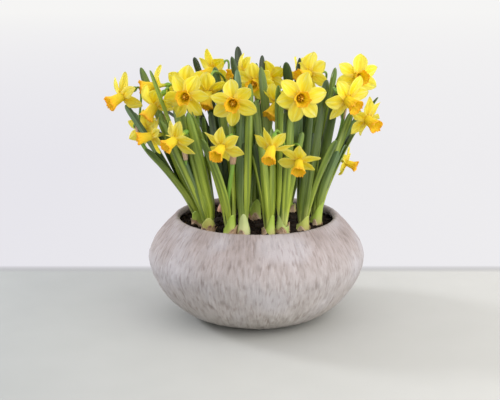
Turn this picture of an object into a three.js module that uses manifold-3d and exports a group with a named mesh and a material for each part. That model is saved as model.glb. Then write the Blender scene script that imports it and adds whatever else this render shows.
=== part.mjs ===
// A bowl of tete-a-tete daffodils: the bowl, its soil, the bulbs, and what grows from each bulb.
// Millimetres, +Z up, the front towards -Y. The origin is the middle of the bowl's flat foot.

import * as THREE from 'three';
import { mergeVertices } from 'three/addons/utils/BufferGeometryUtils.js';
import Module from 'manifold-3d';

const wasm = await Module();
wasm.setup();

// The bowl: a squat round belly that closes in to a soft rounded lip
const FOOT_RADIUS = 60;
const FOOT_PULL = 55;
const FOOT_LIFT = 3;
const BELLY_RADIUS = 140;
const BELLY_HEIGHT = 79;
const BELLY_PULL_DOWN = 18;
const BELLY_PULL_UP = 15;
const OPENING_RADIUS = 98.5;
const BOWL_HEIGHT = 132.5;
const WALL = 9;
const FLOOR = 12;
const LIP_RADIUS = WALL / 2;
const LIP_TURN = THREE.MathUtils.degToRad(46);
const SHOULDER_PULL = 28;
const LOWER_STEPS = 6;
const UPPER_STEPS = 4;
const LIP_STEPS = 4;
const BOWL_SIDES = 36;

// The soil: a low mound, fullest in the middle
const SOIL_EDGE_HEIGHT = 119;
const SOIL_HALFWAY_HEIGHT = 124.5;
const SOIL_MIDDLE_HEIGHT = 126;

// The gap that keeps touching pieces apart, and the size of the slivers cleaned off a joined solid
const GAP = 0.3;
const SMALLEST_EDGE = 0.02;
const SAME_POINT = 1e-4;

// One bulb nose, from its root plate up to its neck
const BULB_LENGTH = 45;
const ROOT_PLATE_RADIUS = 9;
const NECK_RADIUS = 7;
const BULB_SIDES = 10;

// Radius and height at the bulb's widest ring, at its shoulder and below its neck
const BULB_RINGS = [[15, 10], [14.2, 20], [9.3, 33]];

// One shoot: a papery sheath on the bulb's neck, with strap leaves growing out of it
const SHEATH_LENGTH = 26;
const SHEATH_SIDES = 10;
const SHEATH_FULL_FROM = 0.4;
const SHEATH_STEPS = [0, SHEATH_FULL_FROM, 0.7, 1];
const LEAF_THICKNESS = 1.5;
const LEAF_ROOT_WIDTH = 4.4;
const LEAF_TIP_WIDTH = 2.6;
const LEAF_STEPS = [0, 0.12, 0.3, 0.5, 0.7, 0.86, 1];
const LEAF_FULL_WIDTH_FROM = 0.3;
const LEAF_TAPER_FROM = 0.7;
const LEAF_TAPER_POWER = 2.2;
const LEAF_THINNING = 0.35;
const LEAF_SIDES = 4;
const ROOT_DEPTH = 5;
const RING_INSET = 1.3;
const KNEE_OUTWARD = 4;

// One flower stem: the stem, its fork in a papery spathe, and the thin stalks to the flowers
const STEM_RADIUS = 2.9;
const FORK_RADIUS = 2.4;
const STALK_RADIUS = 1.4;
const SPATHE_LENGTH = 17;
const SPATHE_WIDTH = 5;
const SPATHE_THICKNESS = 2;
const STEM_SIDES = 5;
const STALK_SIDES = 4;
const STEM_STEPS = 5;
const STALK_STEPS = 6;
const FORK_DROP = 27;
const FORK_BEHIND = 9;
const STALK_RISE = 15;
const STALK_RUN = 15;
const STALK_SUNK = 1.5;
const STEM_PULL_LOW = 0.4;
const STEM_PULL_HIGH = 0.3;
const SPATHE_BELOW = 4;
const SPATHE_LEAN = 6;
const SPATHE_STEPS = 3;
const SPATHE_TIP_SHARE = 0.2;
const SPATHE_BEND_SHARE = 1 / 3;

// One flower at size 1: six petals, the trumpet in front of them, the tube and seed swelling behind
const PETALS = 6;
const PETAL_THICKNESS = 1.3;
const TUBE_LENGTH = 22;
const FLOWER_SIDES = 7;

// Bearing in degrees and reach of the rim from one petal's tip to the next: tip, side, notch, side
const PETAL_RIM = [[0, 25], [25, 16], [30, 12.5], [35, 16]];

// Radius and distance in front of the petals, up the outside of tube and trumpet and down inside
const FLOWER_OUTSIDE = [[2.2, -TUBE_LENGTH], [3.4, -18], [2.5, -12], [5.8, 0], [6.6, 12], [8.8, 19]];
const FLOWER_INSIDE = [[7.6, 19], [5.3, 12], [4.6, 2]];

// Each shoot stands on one nose of a bulb. Its leaf tips are [x, y, z, leaf width].
const SHOOTS = [
  {
    foot: [-74, -14], neck: 127, sheath: 9.6, lean: [-0.5, 0.06], bulb: 1,
    tips: [[-148, 36, 315, 11], [-138, -30, 223, 10], [-160, 5, 273, 11],
      [-156, 45, 256, 10], [-108, 44, 288, 11], [-120, -5, 264, 11]],
  },
  {
    foot: [-60, -46], neck: 127, sheath: 10.5, lean: [-0.22, -0.06], bulb: 2,
    tips: [[-122, -64, 324, 12], [-98, -36, 296, 11], [-82, -78, 276, 12], [-64, -56, 266, 11],
      [-109, -62, 263, 10], [-90, -58, 250, 10]],
  },
  {
    foot: [-33, -63], neck: 128, sheath: 8.5, lean: [-0.08, -0.04], bulb: 3,
    tips: [[-82, -60, 280, 13], [-29, -40, 311, 12], [-44, -34, 293, 11], [-44, -52, 256, 10],
      [-56, -44, 270, 10], [-66, -82, 244, 10]],
  },
  {
    foot: [-16, -65], neck: 129, sheath: 7.5, lean: [0, -0.04], bulb: 3,
    tips: [[-17, -52, 296, 12], [-8, -60, 307, 10], [-24, -30, 320, 10], [-4, -40, 262, 10]],
  },
  {
    foot: [15, -66], neck: 128, sheath: 8, lean: [-0.02, -0.04], bulb: 4,
    tips: [[-21, -54, 272, 12], [18, -66, 254, 10], [8, -36, 324, 11], [-1, -40, 284, 11],
      [14, -30, 270, 10], [4, -76, 250, 10]],
  },
  {
    foot: [32, -62], neck: 131, sheath: 8, lean: [0.04, -0.04], bulb: 4,
    tips: [[55, -62, 249, 10], [41, -66, 276, 10], [50, -40, 284, 12], [29, -70, 294, 11],
      [21, -50, 305, 10], [36, -30, 268, 10]],
  },
  {
    foot: [58, -44], neck: 128, sheath: 8.5, lean: [0.1, -0.03], bulb: 5,
    tips: [[85, -40, 309, 11], [77, -20, 239, 11], [96, -60, 239, 11], [64, -44, 270, 12],
      [53, -20, 306, 11], [72, -30, 280, 11]],
  },
  {
    foot: [76, -12], neck: 127, sheath: 9.2, lean: [0.17, -0.02], bulb: 6,
    tips: [[102, -30, 295, 13], [98, 0, 319, 10], [153, 10, 281, 9], [120, -2, 264, 11],
      [113, 10, 241, 10], [100, -40, 222, 10], [132, 24, 258, 10], [92, 12, 290, 10]],
  },
  {
    foot: [-38, 52], neck: 148, sheath: 9.5, lean: [-0.14, 0.08], bulb: 7,
    tips: [[-80, 50, 327, 9], [-102, 66, 306, 10], [-67, 90, 287, 11], [-50, 16, 318, 12],
      [-132, 70, 263, 10], [-88, 84, 272, 11], [-50, 104, 262, 11], [-20, 66, 284, 10]],
  },
  {
    foot: [-2, 2], neck: 131, sheath: 9.5, lean: [0, 0.02], bulb: 8,
    tips: [[-24, 44, 341, 12], [-31, 4, 333, 10], [0, 42, 320, 9], [10, 20, 332, 11],
      [24, 34, 318, 9], [-12, 60, 283, 11]],
  },
  {
    foot: [44, 48], neck: 131, sheath: 9.8, lean: [0.12, 0.08], bulb: 9,
    tips: [[37, 2, 326, 13], [55, 44, 327, 9], [78, 72, 316, 9], [88, 88, 266, 11],
      [42, 86, 285, 11], [62, 104, 258, 11], [104, 60, 290, 10]],
  },
];

// Each flower: the middle of its petals, its turn from the front, its dip, how far its petals
// sweep back and its roll, in degrees, and its size
const FLOWERS = [
  { at: [-168, -12, 286], turn: -56, dip: 24, swept: 30, roll: 20, size: 1.05 },
  { at: [-143, 22, 240], turn: 150, dip: 10, swept: 15, roll: 20, size: 0.85 },
  { at: [-128, -4, 298], turn: -76, dip: 3, swept: 22, roll: 30, size: 0.95 },
  { at: [-124, -44, 280], turn: -65, dip: 52, swept: 32, roll: 40, size: 1 },
  { at: [-85, -62, 293], turn: -9, dip: -3, swept: 5, roll: 4, size: 1 },
  { at: [-90, 6, 296], turn: -15, dip: 3, swept: 5, roll: 23, size: 1 },
  { at: [-60, -18, 292], turn: -20, dip: 62, swept: 38, roll: 15, size: 1 },
  { at: [-56, 44, 313], turn: -48, dip: 25, swept: 8, roll: 30, size: 1 },
  { at: [-28, -78, 288], turn: -4, dip: 1, swept: 4, roll: 37, size: 1 },
  { at: [-128, -52, 243], turn: -78, dip: 8, swept: 26, roll: 25, size: 0.9 },
  { at: [-97, -88, 245], turn: -52, dip: 26, swept: 20, roll: 5, size: 0.95 },
  { at: [-41, -108, 240], turn: -27, dip: 28, swept: 16, roll: 30, size: 0.95 },
  { at: [-18, 14, 313], turn: -62, dip: 10, swept: 12, roll: 45, size: 0.95 },
  { at: [-2, -22, 305], turn: -14, dip: 10, swept: 6, roll: 40, size: 0.9 },
  { at: [17, 28, 303], turn: 160, dip: 4, swept: 20, roll: 20, size: 0.9 },
  { at: [67, 18, 310], turn: -52, dip: 4, swept: 12, roll: 35, size: 1 },
  { at: [54, 52, 305], turn: -80, dip: 6, swept: 15, roll: 10, size: 0.9 },
  { at: [51, -86, 295], turn: 6, dip: -2, swept: 4, roll: 10, size: 1.05 },
  { at: [25, -46, 282], turn: -45, dip: 47, swept: 25, roll: 30, size: 1 },
  { at: [128, 14, 307], turn: 14, dip: -4, swept: 6, roll: 25, size: 1 },
  { at: [110, -46, 287], turn: 38, dip: 26, swept: 10, roll: 10, size: 1.08 },
  { at: [137, -28, 260], turn: 38, dip: 25, swept: 10, roll: 45, size: 1 },
  { at: [17, -112, 240], turn: -17, dip: 46, swept: 22, roll: -20, size: 0.95 },
  { at: [50, -92, 220], turn: -5, dip: 38, swept: 6, roll: 15, size: 0.9 },
  { at: [120, 50, 189], turn: 68, dip: 18, swept: 14, roll: 20, size: 0.75 },
];

// Each stem: its shoot, where it stands in the sheath, the flowers that it carries,
// and how far its fork lies from the usual place
const STEMS = [
  { shoot: 1, stand: [-3.4, 0], flowers: [1, 2], fork: [0, 0, 0] },
  { shoot: 1, stand: [3.4, 0], flowers: [3, 4], fork: [-12, 6, -6] },
  { shoot: 2, stand: [-4, 0], flowers: [10, 11], fork: [0, 0, 0] },
  { shoot: 2, stand: [4, 0], flowers: [5, 6], fork: [6, 10, -4] },
  { shoot: 9, stand: [0, 0], flowers: [7, 8], fork: [6, 10, 0] },
  { shoot: 4, stand: [0, 0], flowers: [9], fork: [0, 0, 0] },
  { shoot: 3, stand: [0, 0], flowers: [12], fork: [0, 0, 0] },
  { shoot: 10, stand: [0, 0], flowers: [13, 14, 15], fork: [-5, -2, -4] },
  { shoot: 11, stand: [-3.4, 0], flowers: [16, 17], fork: [0, 0, 0] },
  { shoot: 7, stand: [0, 0], flowers: [18, 19], fork: [0, 0, 0] },
  { shoot: 8, stand: [0, 0], flowers: [20, 21, 22], fork: [0, 0, 0] },
  { shoot: 6, stand: [0, 0], flowers: [23, 24], fork: [-2, 13, 3] },
  { shoot: 11, stand: [3.4, 0], flowers: [25], fork: [0, 0, 0] },
];

// A leaf whose wished tip is taken tries tips further out, in a widening spiral
const SEARCH_TRIES = 24;
const SEARCH_STEP = 3.5;
const SEARCH_TURN = THREE.MathUtils.degToRad(137.5);
const KNEE_SHARES = [0.4, 0.25, 0.55];
const SLOT_SHIFTS = [0, 18, -18, 34, -34].map(THREE.MathUtils.degToRad);
const SHORTENING = 0.88;
const SHORTENINGS = 4;

// How much of the way a leaf twists from its slot towards showing its face to the front,
// and how far into that list the next shoot starts
const FACING_SHARES = [0.75, 0.3, 0.55, 0.1, 0.65];
const FACING_SKIP = 3;

const MATERIALS = {
  bowl: { color: 0xb9aea6, roughness: 0.92, metalness: 0 },
  soil: { color: 0x2b211a, roughness: 1, metalness: 0 },
  bulb: { color: 0xb98f62, roughness: 0.7, metalness: 0 },
  leaf: { color: 0x5f8a35, roughness: 0.5, metalness: 0 },
  stem: { color: 0x7fa63c, roughness: 0.5, metalness: 0 },
  petal: { color: 0xf6dc23, roughness: 0.55, metalness: 0 },
};

const UP = new THREE.Vector3(0, 0, 1);

// Turns a closed geometry into a solid, leaving out triangles that have shrunk to nothing
function solidOf(geometry) {
  const bare = geometry.clone();
  bare.deleteAttribute('normal');
  bare.deleteAttribute('uv');
  const merged = mergeVertices(bare, SAME_POINT);
  const corners = merged.index.array;
  const kept = [];
  for (let i = 0; i < corners.length; i += 3) {
    const [a, b, c] = corners.slice(i, i + 3);
    if (a !== b && b !== c && c !== a) kept.push(a, b, c);
  }
  return new wasm.Manifold(new wasm.Mesh({
    numProp: 3,
    vertProperties: merged.attributes.position.array,
    triVerts: new Uint32Array(kept),
  }));
}

// Cleans the slivers off a joined solid, and fills the specks of hollow that this leaves in it
function cleaned(solid) {
  const skins = solid.simplify(SMALLEST_EDGE).decompose();
  return wasm.Manifold.union(skins.filter((skin) => skin.volume() > 0));
}

function geometryOf(solid) {
  const mesh = cleaned(solid).getMesh();
  const geometry = new THREE.BufferGeometry();
  geometry.setAttribute('position', new THREE.BufferAttribute(mesh.vertProperties, 3));
  geometry.setIndex(new THREE.BufferAttribute(mesh.triVerts, 1));
  geometry.computeVertexNormals();
  return geometry;
}

function pieceOf(name, solid, material) {
  const piece = new THREE.Mesh(geometryOf(solid), new THREE.MeshStandardMaterial(MATERIALS[material]));
  piece.name = name;
  return piece;
}

function numbered(name, index) {
  return `${name}_${String(index + 1).padStart(2, '0')}`;
}

// A body whose cross-sections follow a curve. shapeAt gives half the width and half the
// thickness at each place, and reference is the direction in which the width lies.
function sweep(curve, places, sides, reference, shapeAt, twist = 0) {
  const geometry = new THREE.CylinderGeometry(1, 1, 1, sides, places.length - 1);
  const position = geometry.attributes.position;
  const sections = places.map((place) => {
    const tangent = curve.getTangent(place);
    const across = reference.clone().addScaledVector(tangent, -reference.dot(tangent)).normalize();
    across.applyAxisAngle(tangent, twist * place);
    const through = across.clone().cross(tangent);
    const [halfWidth, halfThickness] = shapeAt(place);
    return { middle: curve.getPoint(place), across, through, halfWidth, halfThickness };
  });
  const point = new THREE.Vector3();
  for (let i = 0; i < position.count; i += 1) {
    const row = Math.round((position.getY(i) + 0.5) * (places.length - 1));
    const section = sections[row];
    point.copy(section.middle);
    point.addScaledVector(section.across, position.getX(i) * section.halfWidth);
    point.addScaledVector(section.through, position.getZ(i) * section.halfThickness);
    position.setXYZ(i, point.x, point.y, point.z);
  }
  return solidOf(geometry);
}

// Turns an outline of [radius, height] pairs about the upright axis
function turned(outline, sides) {
  const geometry = new THREE.LatheGeometry(outline.map(([r, z]) => new THREE.Vector2(r, z)), sides);
  geometry.rotateX(Math.PI / 2);
  return solidOf(geometry);
}

function evenSteps(count) {
  return Array.from({ length: count + 1 }, (_, i) => i / count);
}

// The belly below its widest ring, from the foot up, drawn in from the outside by inset
function lowerOutline(inset, bottom) {
  const foot = FOOT_RADIUS - inset / 2;
  const belly = BELLY_RADIUS - inset;
  const curve = new THREE.CubicBezierCurve(
    new THREE.Vector2(foot, bottom),
    new THREE.Vector2(foot + FOOT_PULL, bottom + FOOT_LIFT),
    new THREE.Vector2(belly, BELLY_HEIGHT - BELLY_PULL_DOWN),
    new THREE.Vector2(belly, BELLY_HEIGHT),
  );
  return curve.getPoints(LOWER_STEPS).map(({ x, y }) => [x, y]);
}

// The shoulder above the widest ring, up to where the lip starts to round over
function upperOutline(inset) {
  const belly = BELLY_RADIUS - inset;
  const outward = new THREE.Vector2(Math.cos(LIP_TURN), Math.sin(LIP_TURN));
  const inward = new THREE.Vector2(-outward.y, outward.x);
  const lip = new THREE.Vector2(OPENING_RADIUS + LIP_RADIUS, BOWL_HEIGHT - LIP_RADIUS);
  lip.addScaledVector(outward, LIP_RADIUS - inset);
  const curve = new THREE.CubicBezierCurve(
    new THREE.Vector2(belly, BELLY_HEIGHT),
    new THREE.Vector2(belly, BELLY_HEIGHT + BELLY_PULL_UP),
    lip.clone().addScaledVector(inward, -SHOULDER_PULL),
    lip,
  );
  return curve.getPoints(UPPER_STEPS).slice(1).map(({ x, y }) => [x, y]);
}

function lipOutline() {
  return evenSteps(LIP_STEPS).slice(1, -1).map((step) => {
    const turn = LIP_TURN + step * Math.PI;
    const radius = OPENING_RADIUS + LIP_RADIUS + LIP_RADIUS * Math.cos(turn);
    const height = BOWL_HEIGHT - LIP_RADIUS + LIP_RADIUS * Math.sin(turn);
    return [radius, height];
  });
}

function bowlSolid() {
  const outside = [...lowerOutline(0, 0), ...upperOutline(0)];
  const inside = [...lowerOutline(WALL, FLOOR), ...upperOutline(WALL)].reverse();
  return turned([[0, 0], ...outside, ...lipOutline(), ...inside, [0, FLOOR]], BOWL_SIDES);
}

// Cuts the wall's inner outline off at the height where the soil meets it
function soilSolid(bulbs) {
  const inset = WALL + GAP;
  const wall = [...lowerOutline(inset, FLOOR + GAP), ...upperOutline(inset)];
  const above = wall.findIndex(([, height]) => height > SOIL_EDGE_HEIGHT);
  const [lowRadius, lowHeight] = wall[above - 1];
  const [highRadius, highHeight] = wall[above];
  const share = (SOIL_EDGE_HEIGHT - lowHeight) / (highHeight - lowHeight);
  const edgeRadius = lowRadius + (highRadius - lowRadius) * share;
  const outline = [
    [0, FLOOR + GAP],
    ...wall.slice(0, above),
    [edgeRadius, SOIL_EDGE_HEIGHT],
    [edgeRadius / 2, SOIL_HALFWAY_HEIGHT],
    [0, SOIL_MIDDLE_HEIGHT],
  ];
  return bulbs.reduce((soil, bulb) => soil.subtract(bulb), turned(outline, BOWL_SIDES));
}

// One nose of a bulb under its shoot; grow widens it for the hollow that it leaves in the soil
function noseSolid(shoot, grow) {
  const outline = [
    [0, -grow],
    [ROOT_PLATE_RADIUS + grow, -grow],
    ...BULB_RINGS.map(([radius, height]) => [radius + grow, height]),
    [NECK_RADIUS + grow, BULB_LENGTH],
    [0, BULB_LENGTH],
  ];
  const [x, y] = shoot.foot;
  return turned(outline, BULB_SIDES).translate([x, y, shoot.neck - BULB_LENGTH]);
}

function bulbSolids(grow) {
  const bulbs = [];
  for (const shoot of SHOOTS) {
    const nose = noseSolid(shoot, grow);
    const index = shoot.bulb - 1;
    bulbs[index] = bulbs[index] ? bulbs[index].add(nose) : nose;
  }
  return bulbs;
}

// The curve up the middle of a shoot's sheath: upright on the neck, then leaning its own way
function sheathCurve(shoot) {
  const base = new THREE.Vector3(...shoot.foot, shoot.neck + GAP);
  const lean = new THREE.Vector3(...shoot.lean, 1).normalize();
  const knee = base.clone().addScaledVector(UP, SHEATH_LENGTH / 2);
  const top = knee.clone().addScaledVector(lean, SHEATH_LENGTH / 2);
  return new THREE.QuadraticBezierCurve3(base, knee, top);
}

function sheathSolid(shoot) {
  const swell = (place) => {
    const radius = THREE.MathUtils.lerp(NECK_RADIUS, shoot.sheath, Math.min(1, place / SHEATH_FULL_FROM));
    return [radius, radius];
  };
  return sweep(sheathCurve(shoot), SHEATH_STEPS, SHEATH_SIDES, new THREE.Vector3(1, 0, 0), swell);
}

// Width and thickness along a strap leaf: narrow in the sheath, full, then drawn to a blunt tip
function leafShape(width) {
  return (place) => {
    let span = width;
    if (place < LEAF_FULL_WIDTH_FROM) {
      span = THREE.MathUtils.lerp(LEAF_ROOT_WIDTH, width, place / LEAF_FULL_WIDTH_FROM);
    } else if (place > LEAF_TAPER_FROM) {
      const taper = (place - LEAF_TAPER_FROM) / (1 - LEAF_TAPER_FROM);
      span = THREE.MathUtils.lerp(width, LEAF_TIP_WIDTH, taper ** LEAF_TAPER_POWER);
    }
    return [span / 2, LEAF_THICKNESS / 2 * (1 - LEAF_THINNING * place)];
  };
}

// One leaf from its slot in the ring inside the sheath to its tip
function leafSolid(shoot, slot, tip, width, twist, kneeShare) {
  const curve = sheathCurve(shoot);
  const top = curve.getPoint(1);
  const lean = curve.getTangent(1);
  const outward = new THREE.Vector3(Math.cos(slot), Math.sin(slot), 0);
  const tangent = new THREE.Vector3(-Math.sin(slot), Math.cos(slot), 0);
  const root = top.clone().addScaledVector(outward, shoot.sheath - RING_INSET);
  root.addScaledVector(lean, -ROOT_DEPTH);
  const knee = root.clone().addScaledVector(lean, root.distanceTo(tip) * kneeShare);
  knee.addScaledVector(outward, KNEE_OUTWARD);
  const rise = new THREE.QuadraticBezierCurve3(root, knee, tip);
  return sweep(rise, LEAF_STEPS, LEAF_SIDES, tangent, leafShape(width), twist);
}

// Evenly spaced slots around the sheath, each given to the leaf that leans its way
function leafSlots(shoot) {
  const top = sheathCurve(shoot).getPoint(1);
  const axis = new THREE.Vector3();
  shoot.tips.forEach(([x, y, z]) => axis.add(new THREE.Vector3(x, y, z).sub(top)));
  const bearings = shoot.tips.map(([x, y, z], i) => {
    const middle = top.clone().addScaledVector(axis, (z - top.z) / axis.z);
    return { i, angle: Math.atan2(y - middle.y, x - middle.x) };
  });
  bearings.sort((one, other) => one.angle - other.angle);
  const share = 2 * Math.PI / bearings.length;
  let sine = 0;
  let cosine = 0;
  bearings.forEach(({ angle }, order) => {
    sine += Math.sin(angle - order * share);
    cosine += Math.cos(angle - order * share);
  });
  const start = Math.atan2(sine, cosine);
  const slots = [];
  bearings.forEach(({ i }, order) => {
    slots[i] = start + order * share;
  });
  return slots;
}

// The twist that brings a leaf from its slot a share of the way to lying across the view
function facingTwist(slot, share) {
  const away = THREE.MathUtils.euclideanModulo(slot, Math.PI) - Math.PI / 2;
  return -away * share;
}

function boxesMeet(one, other) {
  const a = one.boundingBox();
  const b = other.boundingBox();
  return [0, 1, 2].every((axis) => a.min[axis] - GAP < b.max[axis] && b.min[axis] - GAP < a.max[axis]);
}

function isClear(solid, others) {
  return others.every((other) => !boxesMeet(solid, other) || solid.minGap(other, 2 * GAP) > GAP);
}

// Every way that a leaf may grow towards its wished tip, the nearest to the wish first
function* leafWays(shoot, wish) {
  const top = sheathCurve(shoot).getPoint(1);
  for (let cut = 0; cut <= SHORTENINGS; cut += 1) {
    const aim = top.clone().lerp(wish, SHORTENING ** cut);
    for (let i = 0; i < SEARCH_TRIES; i += 1) {
      const away = SEARCH_STEP * Math.sqrt(i);
      const tip = aim.clone();
      tip.x += away * Math.cos(i * SEARCH_TURN);
      tip.y += away * Math.sin(i * SEARCH_TURN);
      for (const shift of SLOT_SHIFTS) {
        for (const kneeShare of KNEE_SHARES) yield { tip, shift, kneeShare };
      }
    }
  }
}

// The first way to grow in which the leaf touches nothing. A leaf without one doesn't grow.
function clearLeaf(shoot, slot, wish, width, twist, others) {
  for (const { tip, shift, kneeShare } of leafWays(shoot, wish)) {
    const leaf = leafSolid(shoot, slot + shift, tip, width, twist, kneeShare);
    if (isClear(leaf, others)) return leaf;
  }
  return null;
}

// All shoots; the leaves keep clear of each other and of everything in others
function shootSolids(others) {
  const taken = [...others];
  const sheaths = SHOOTS.map(sheathSolid);
  return SHOOTS.map((shoot, index) => {
    const slots = leafSlots(shoot);
    const strangers = sheaths.filter((_, i) => i !== index);
    let body = sheaths[index];
    shoot.tips.forEach(([x, y, z, width], i) => {
      const share = FACING_SHARES[(index * FACING_SKIP + i) % FACING_SHARES.length];
      const twist = facingTwist(slots[i], share);
      const wish = new THREE.Vector3(x, y, z);
      const leaf = clearLeaf(shoot, slots[i], wish, width, twist, [...taken, ...strangers]);
      if (!leaf) return;
      taken.push(leaf);
      body = body.add(leaf);
    });
    return body;
  });
}

// The way a flower faces, with the picture's upright and its right-hand side as seen from in front
function flowerAxes({ turn, dip }) {
  const side = THREE.MathUtils.degToRad(turn);
  const down = THREE.MathUtils.degToRad(dip);
  const facing = new THREE.Vector3(
    Math.sin(side) * Math.cos(down),
    -Math.cos(side) * Math.cos(down),
    -Math.sin(down),
  );
  const right = UP.clone().cross(facing).normalize();
  const crown = facing.clone().cross(right);
  return { facing, right, crown };
}

// Six pointed petals as one thin star around the trumpet, swept back by an angle in degrees
function petalStar(swept) {
  const sides = PETALS * PETAL_RIM.length;
  const lean = THREE.MathUtils.degToRad(swept);
  const star = new THREE.CylinderGeometry(1, 1, PETAL_THICKNESS, sides, 1);
  const position = star.attributes.position;
  for (let i = 0; i < position.count; i += 1) {
    const share = Math.atan2(position.getX(i), position.getZ(i)) / (2 * Math.PI);
    const place = THREE.MathUtils.euclideanModulo(Math.round(share * sides), sides);
    const [bearing, rim] = PETAL_RIM[place % PETAL_RIM.length];
    const petal = Math.floor(place / PETAL_RIM.length);
    const angle = THREE.MathUtils.degToRad(petal * 360 / PETALS + bearing);
    const reach = rim * Math.hypot(position.getX(i), position.getZ(i));
    const out = reach * Math.cos(lean);
    const height = position.getY(i) - reach * Math.sin(lean);
    position.setXYZ(i, out * Math.cos(angle), out * Math.sin(angle), height);
  }
  return solidOf(star);
}

// The seed swelling, the tube and the trumpet, turned about the way the flower faces
function trumpetSolid() {
  const throat = FLOWER_INSIDE.at(-1)[1];
  return turned([[0, -TUBE_LENGTH], ...FLOWER_OUTSIDE, ...FLOWER_INSIDE, [0, throat]], FLOWER_SIDES);
}

function flowerMatrix(flower) {
  const { facing, right, crown } = flowerAxes(flower);
  const turn = new THREE.Matrix4().makeBasis(right, crown, facing);
  turn.multiply(new THREE.Matrix4().makeRotationZ(THREE.MathUtils.degToRad(flower.roll)));
  turn.scale(new THREE.Vector3(flower.size, flower.size, flower.size));
  return turn.setPosition(...flower.at);
}

// Where a stalk meets the back of its flower, and the way that it arrives there
function stalkEnd(flower) {
  const { facing, right } = flowerAxes(flower);
  const end = new THREE.Vector3(...flower.at);
  end.addScaledVector(facing, -(TUBE_LENGTH * flower.size + GAP));
  return { end, facing, right };
}

function forkPoint(stem) {
  const fork = new THREE.Vector3();
  for (const number of stem.flowers) {
    const { end, facing } = stalkEnd(FLOWERS[number - 1]);
    const level = new THREE.Vector3(facing.x, facing.y, 0).normalize();
    fork.add(end).addScaledVector(level, -FORK_BEHIND).addScaledVector(UP, -FORK_DROP);
  }
  return fork.divideScalar(stem.flowers.length).add(new THREE.Vector3(...stem.fork));
}

function stalkSolid(fork, flower) {
  const { end, facing, right } = stalkEnd(flower);
  const curve = new THREE.CubicBezierCurve3(
    fork.clone().addScaledVector(UP, -STALK_SUNK),
    fork.clone().addScaledVector(UP, STALK_RISE),
    end.clone().addScaledVector(facing, -STALK_RUN),
    end,
  );
  return sweep(curve, evenSteps(STALK_STEPS), STALK_SIDES, right, () => [STALK_RADIUS, STALK_RADIUS]);
}

// The dry spathe that the stalks grew out of, a thin pointed blade beside them
function spatheSolid(fork, lean) {
  const top = fork.clone().addScaledVector(UP, SPATHE_LENGTH).addScaledVector(lean, SPATHE_LEAN);
  const curve = new THREE.QuadraticBezierCurve3(
    fork.clone().addScaledVector(UP, -SPATHE_BELOW),
    fork.clone().addScaledVector(UP, SPATHE_LENGTH * SPATHE_BEND_SHARE),
    top,
  );
  const across = lean.clone().cross(UP);
  const narrowing = (place) => [
    SPATHE_WIDTH / 2 * THREE.MathUtils.lerp(1, SPATHE_TIP_SHARE, place),
    SPATHE_THICKNESS / 2,
  ];
  return sweep(curve, evenSteps(SPATHE_STEPS), LEAF_SIDES, across, narrowing);
}

function stemSolid(stem) {
  const shoot = SHOOTS[stem.shoot - 1];
  const middle = sheathCurve(shoot);
  const lean = middle.getTangent(1);
  const aside = new THREE.Vector3(...stem.stand, 0);
  aside.addScaledVector(lean, -aside.dot(lean));
  const stand = middle.getPoint(1).addScaledVector(lean, GAP * 2).add(aside);
  const fork = forkPoint(stem);
  const rise = fork.distanceTo(stand);
  const curve = new THREE.CubicBezierCurve3(
    stand,
    stand.clone().addScaledVector(lean, rise * STEM_PULL_LOW),
    fork.clone().addScaledVector(UP, -rise * STEM_PULL_HIGH),
    fork,
  );
  const thickness = (place) => {
    const radius = THREE.MathUtils.lerp(STEM_RADIUS, FORK_RADIUS, place);
    return [radius, radius];
  };
  let body = sweep(curve, evenSteps(STEM_STEPS), STEM_SIDES, new THREE.Vector3(1, 0, 0), thickness);
  for (const number of stem.flowers) {
    body = body.add(stalkSolid(fork, FLOWERS[number - 1]));
  }
  const spatheLean = new THREE.Vector3(fork.x - stand.x, fork.y - stand.y, 0).normalize();
  return body.add(spatheSolid(fork, spatheLean));
}

function buildPot() {
  const pot = new THREE.Group();
  const bowl = bowlSolid();
  const bulbs = bulbSolids(0);
  const soil = soilSolid(bulbSolids(GAP));
  pot.add(pieceOf('planter_bowl', bowl, 'bowl'));
  pot.add(pieceOf('potting_soil', soil, 'soil'));
  bulbs.forEach((bulb, i) => pot.add(pieceOf(numbered('bulb', i), bulb, 'bulb')));

  const blooms = FLOWERS.map((flower) => petalStar(flower.swept).add(trumpetSolid()));
  const flowers = FLOWERS.map((flower, i) => blooms[i].transform(flowerMatrix(flower).elements));
  FLOWERS.forEach((flower, i) => {
    const piece = pieceOf(numbered('flower', i), blooms[i], 'petal');
    piece.applyMatrix4(flowerMatrix(flower));
    pot.add(piece);
  });

  const stems = STEMS.map(stemSolid);
  stems.forEach((stem, i) => pot.add(pieceOf(numbered('stem', i), stem, 'stem')));

  const shoots = shootSolids([bowl, ...bulbs, ...flowers, ...stems]);
  shoots.forEach((shoot, i) => pot.add(pieceOf(numbered('leaves', i), shoot, 'leaf')));
  return pot;
}

export default buildPot();
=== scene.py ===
import math

import bpy
import numpy as np
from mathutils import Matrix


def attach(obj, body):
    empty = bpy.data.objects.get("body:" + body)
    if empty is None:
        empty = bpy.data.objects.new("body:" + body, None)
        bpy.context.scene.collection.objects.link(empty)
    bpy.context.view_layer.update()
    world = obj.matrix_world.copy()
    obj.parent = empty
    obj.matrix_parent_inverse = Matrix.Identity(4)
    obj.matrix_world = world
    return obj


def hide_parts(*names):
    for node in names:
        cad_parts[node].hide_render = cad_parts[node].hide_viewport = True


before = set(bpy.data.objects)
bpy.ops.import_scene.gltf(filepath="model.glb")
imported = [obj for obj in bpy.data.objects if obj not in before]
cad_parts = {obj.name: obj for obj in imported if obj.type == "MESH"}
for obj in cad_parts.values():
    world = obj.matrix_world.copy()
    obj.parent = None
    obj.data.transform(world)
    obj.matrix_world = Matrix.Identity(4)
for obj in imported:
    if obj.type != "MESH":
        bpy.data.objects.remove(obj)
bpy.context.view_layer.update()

# All sizes and places below are in millimetres, and become metres when a piece is made.
MM = 0.001
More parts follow.
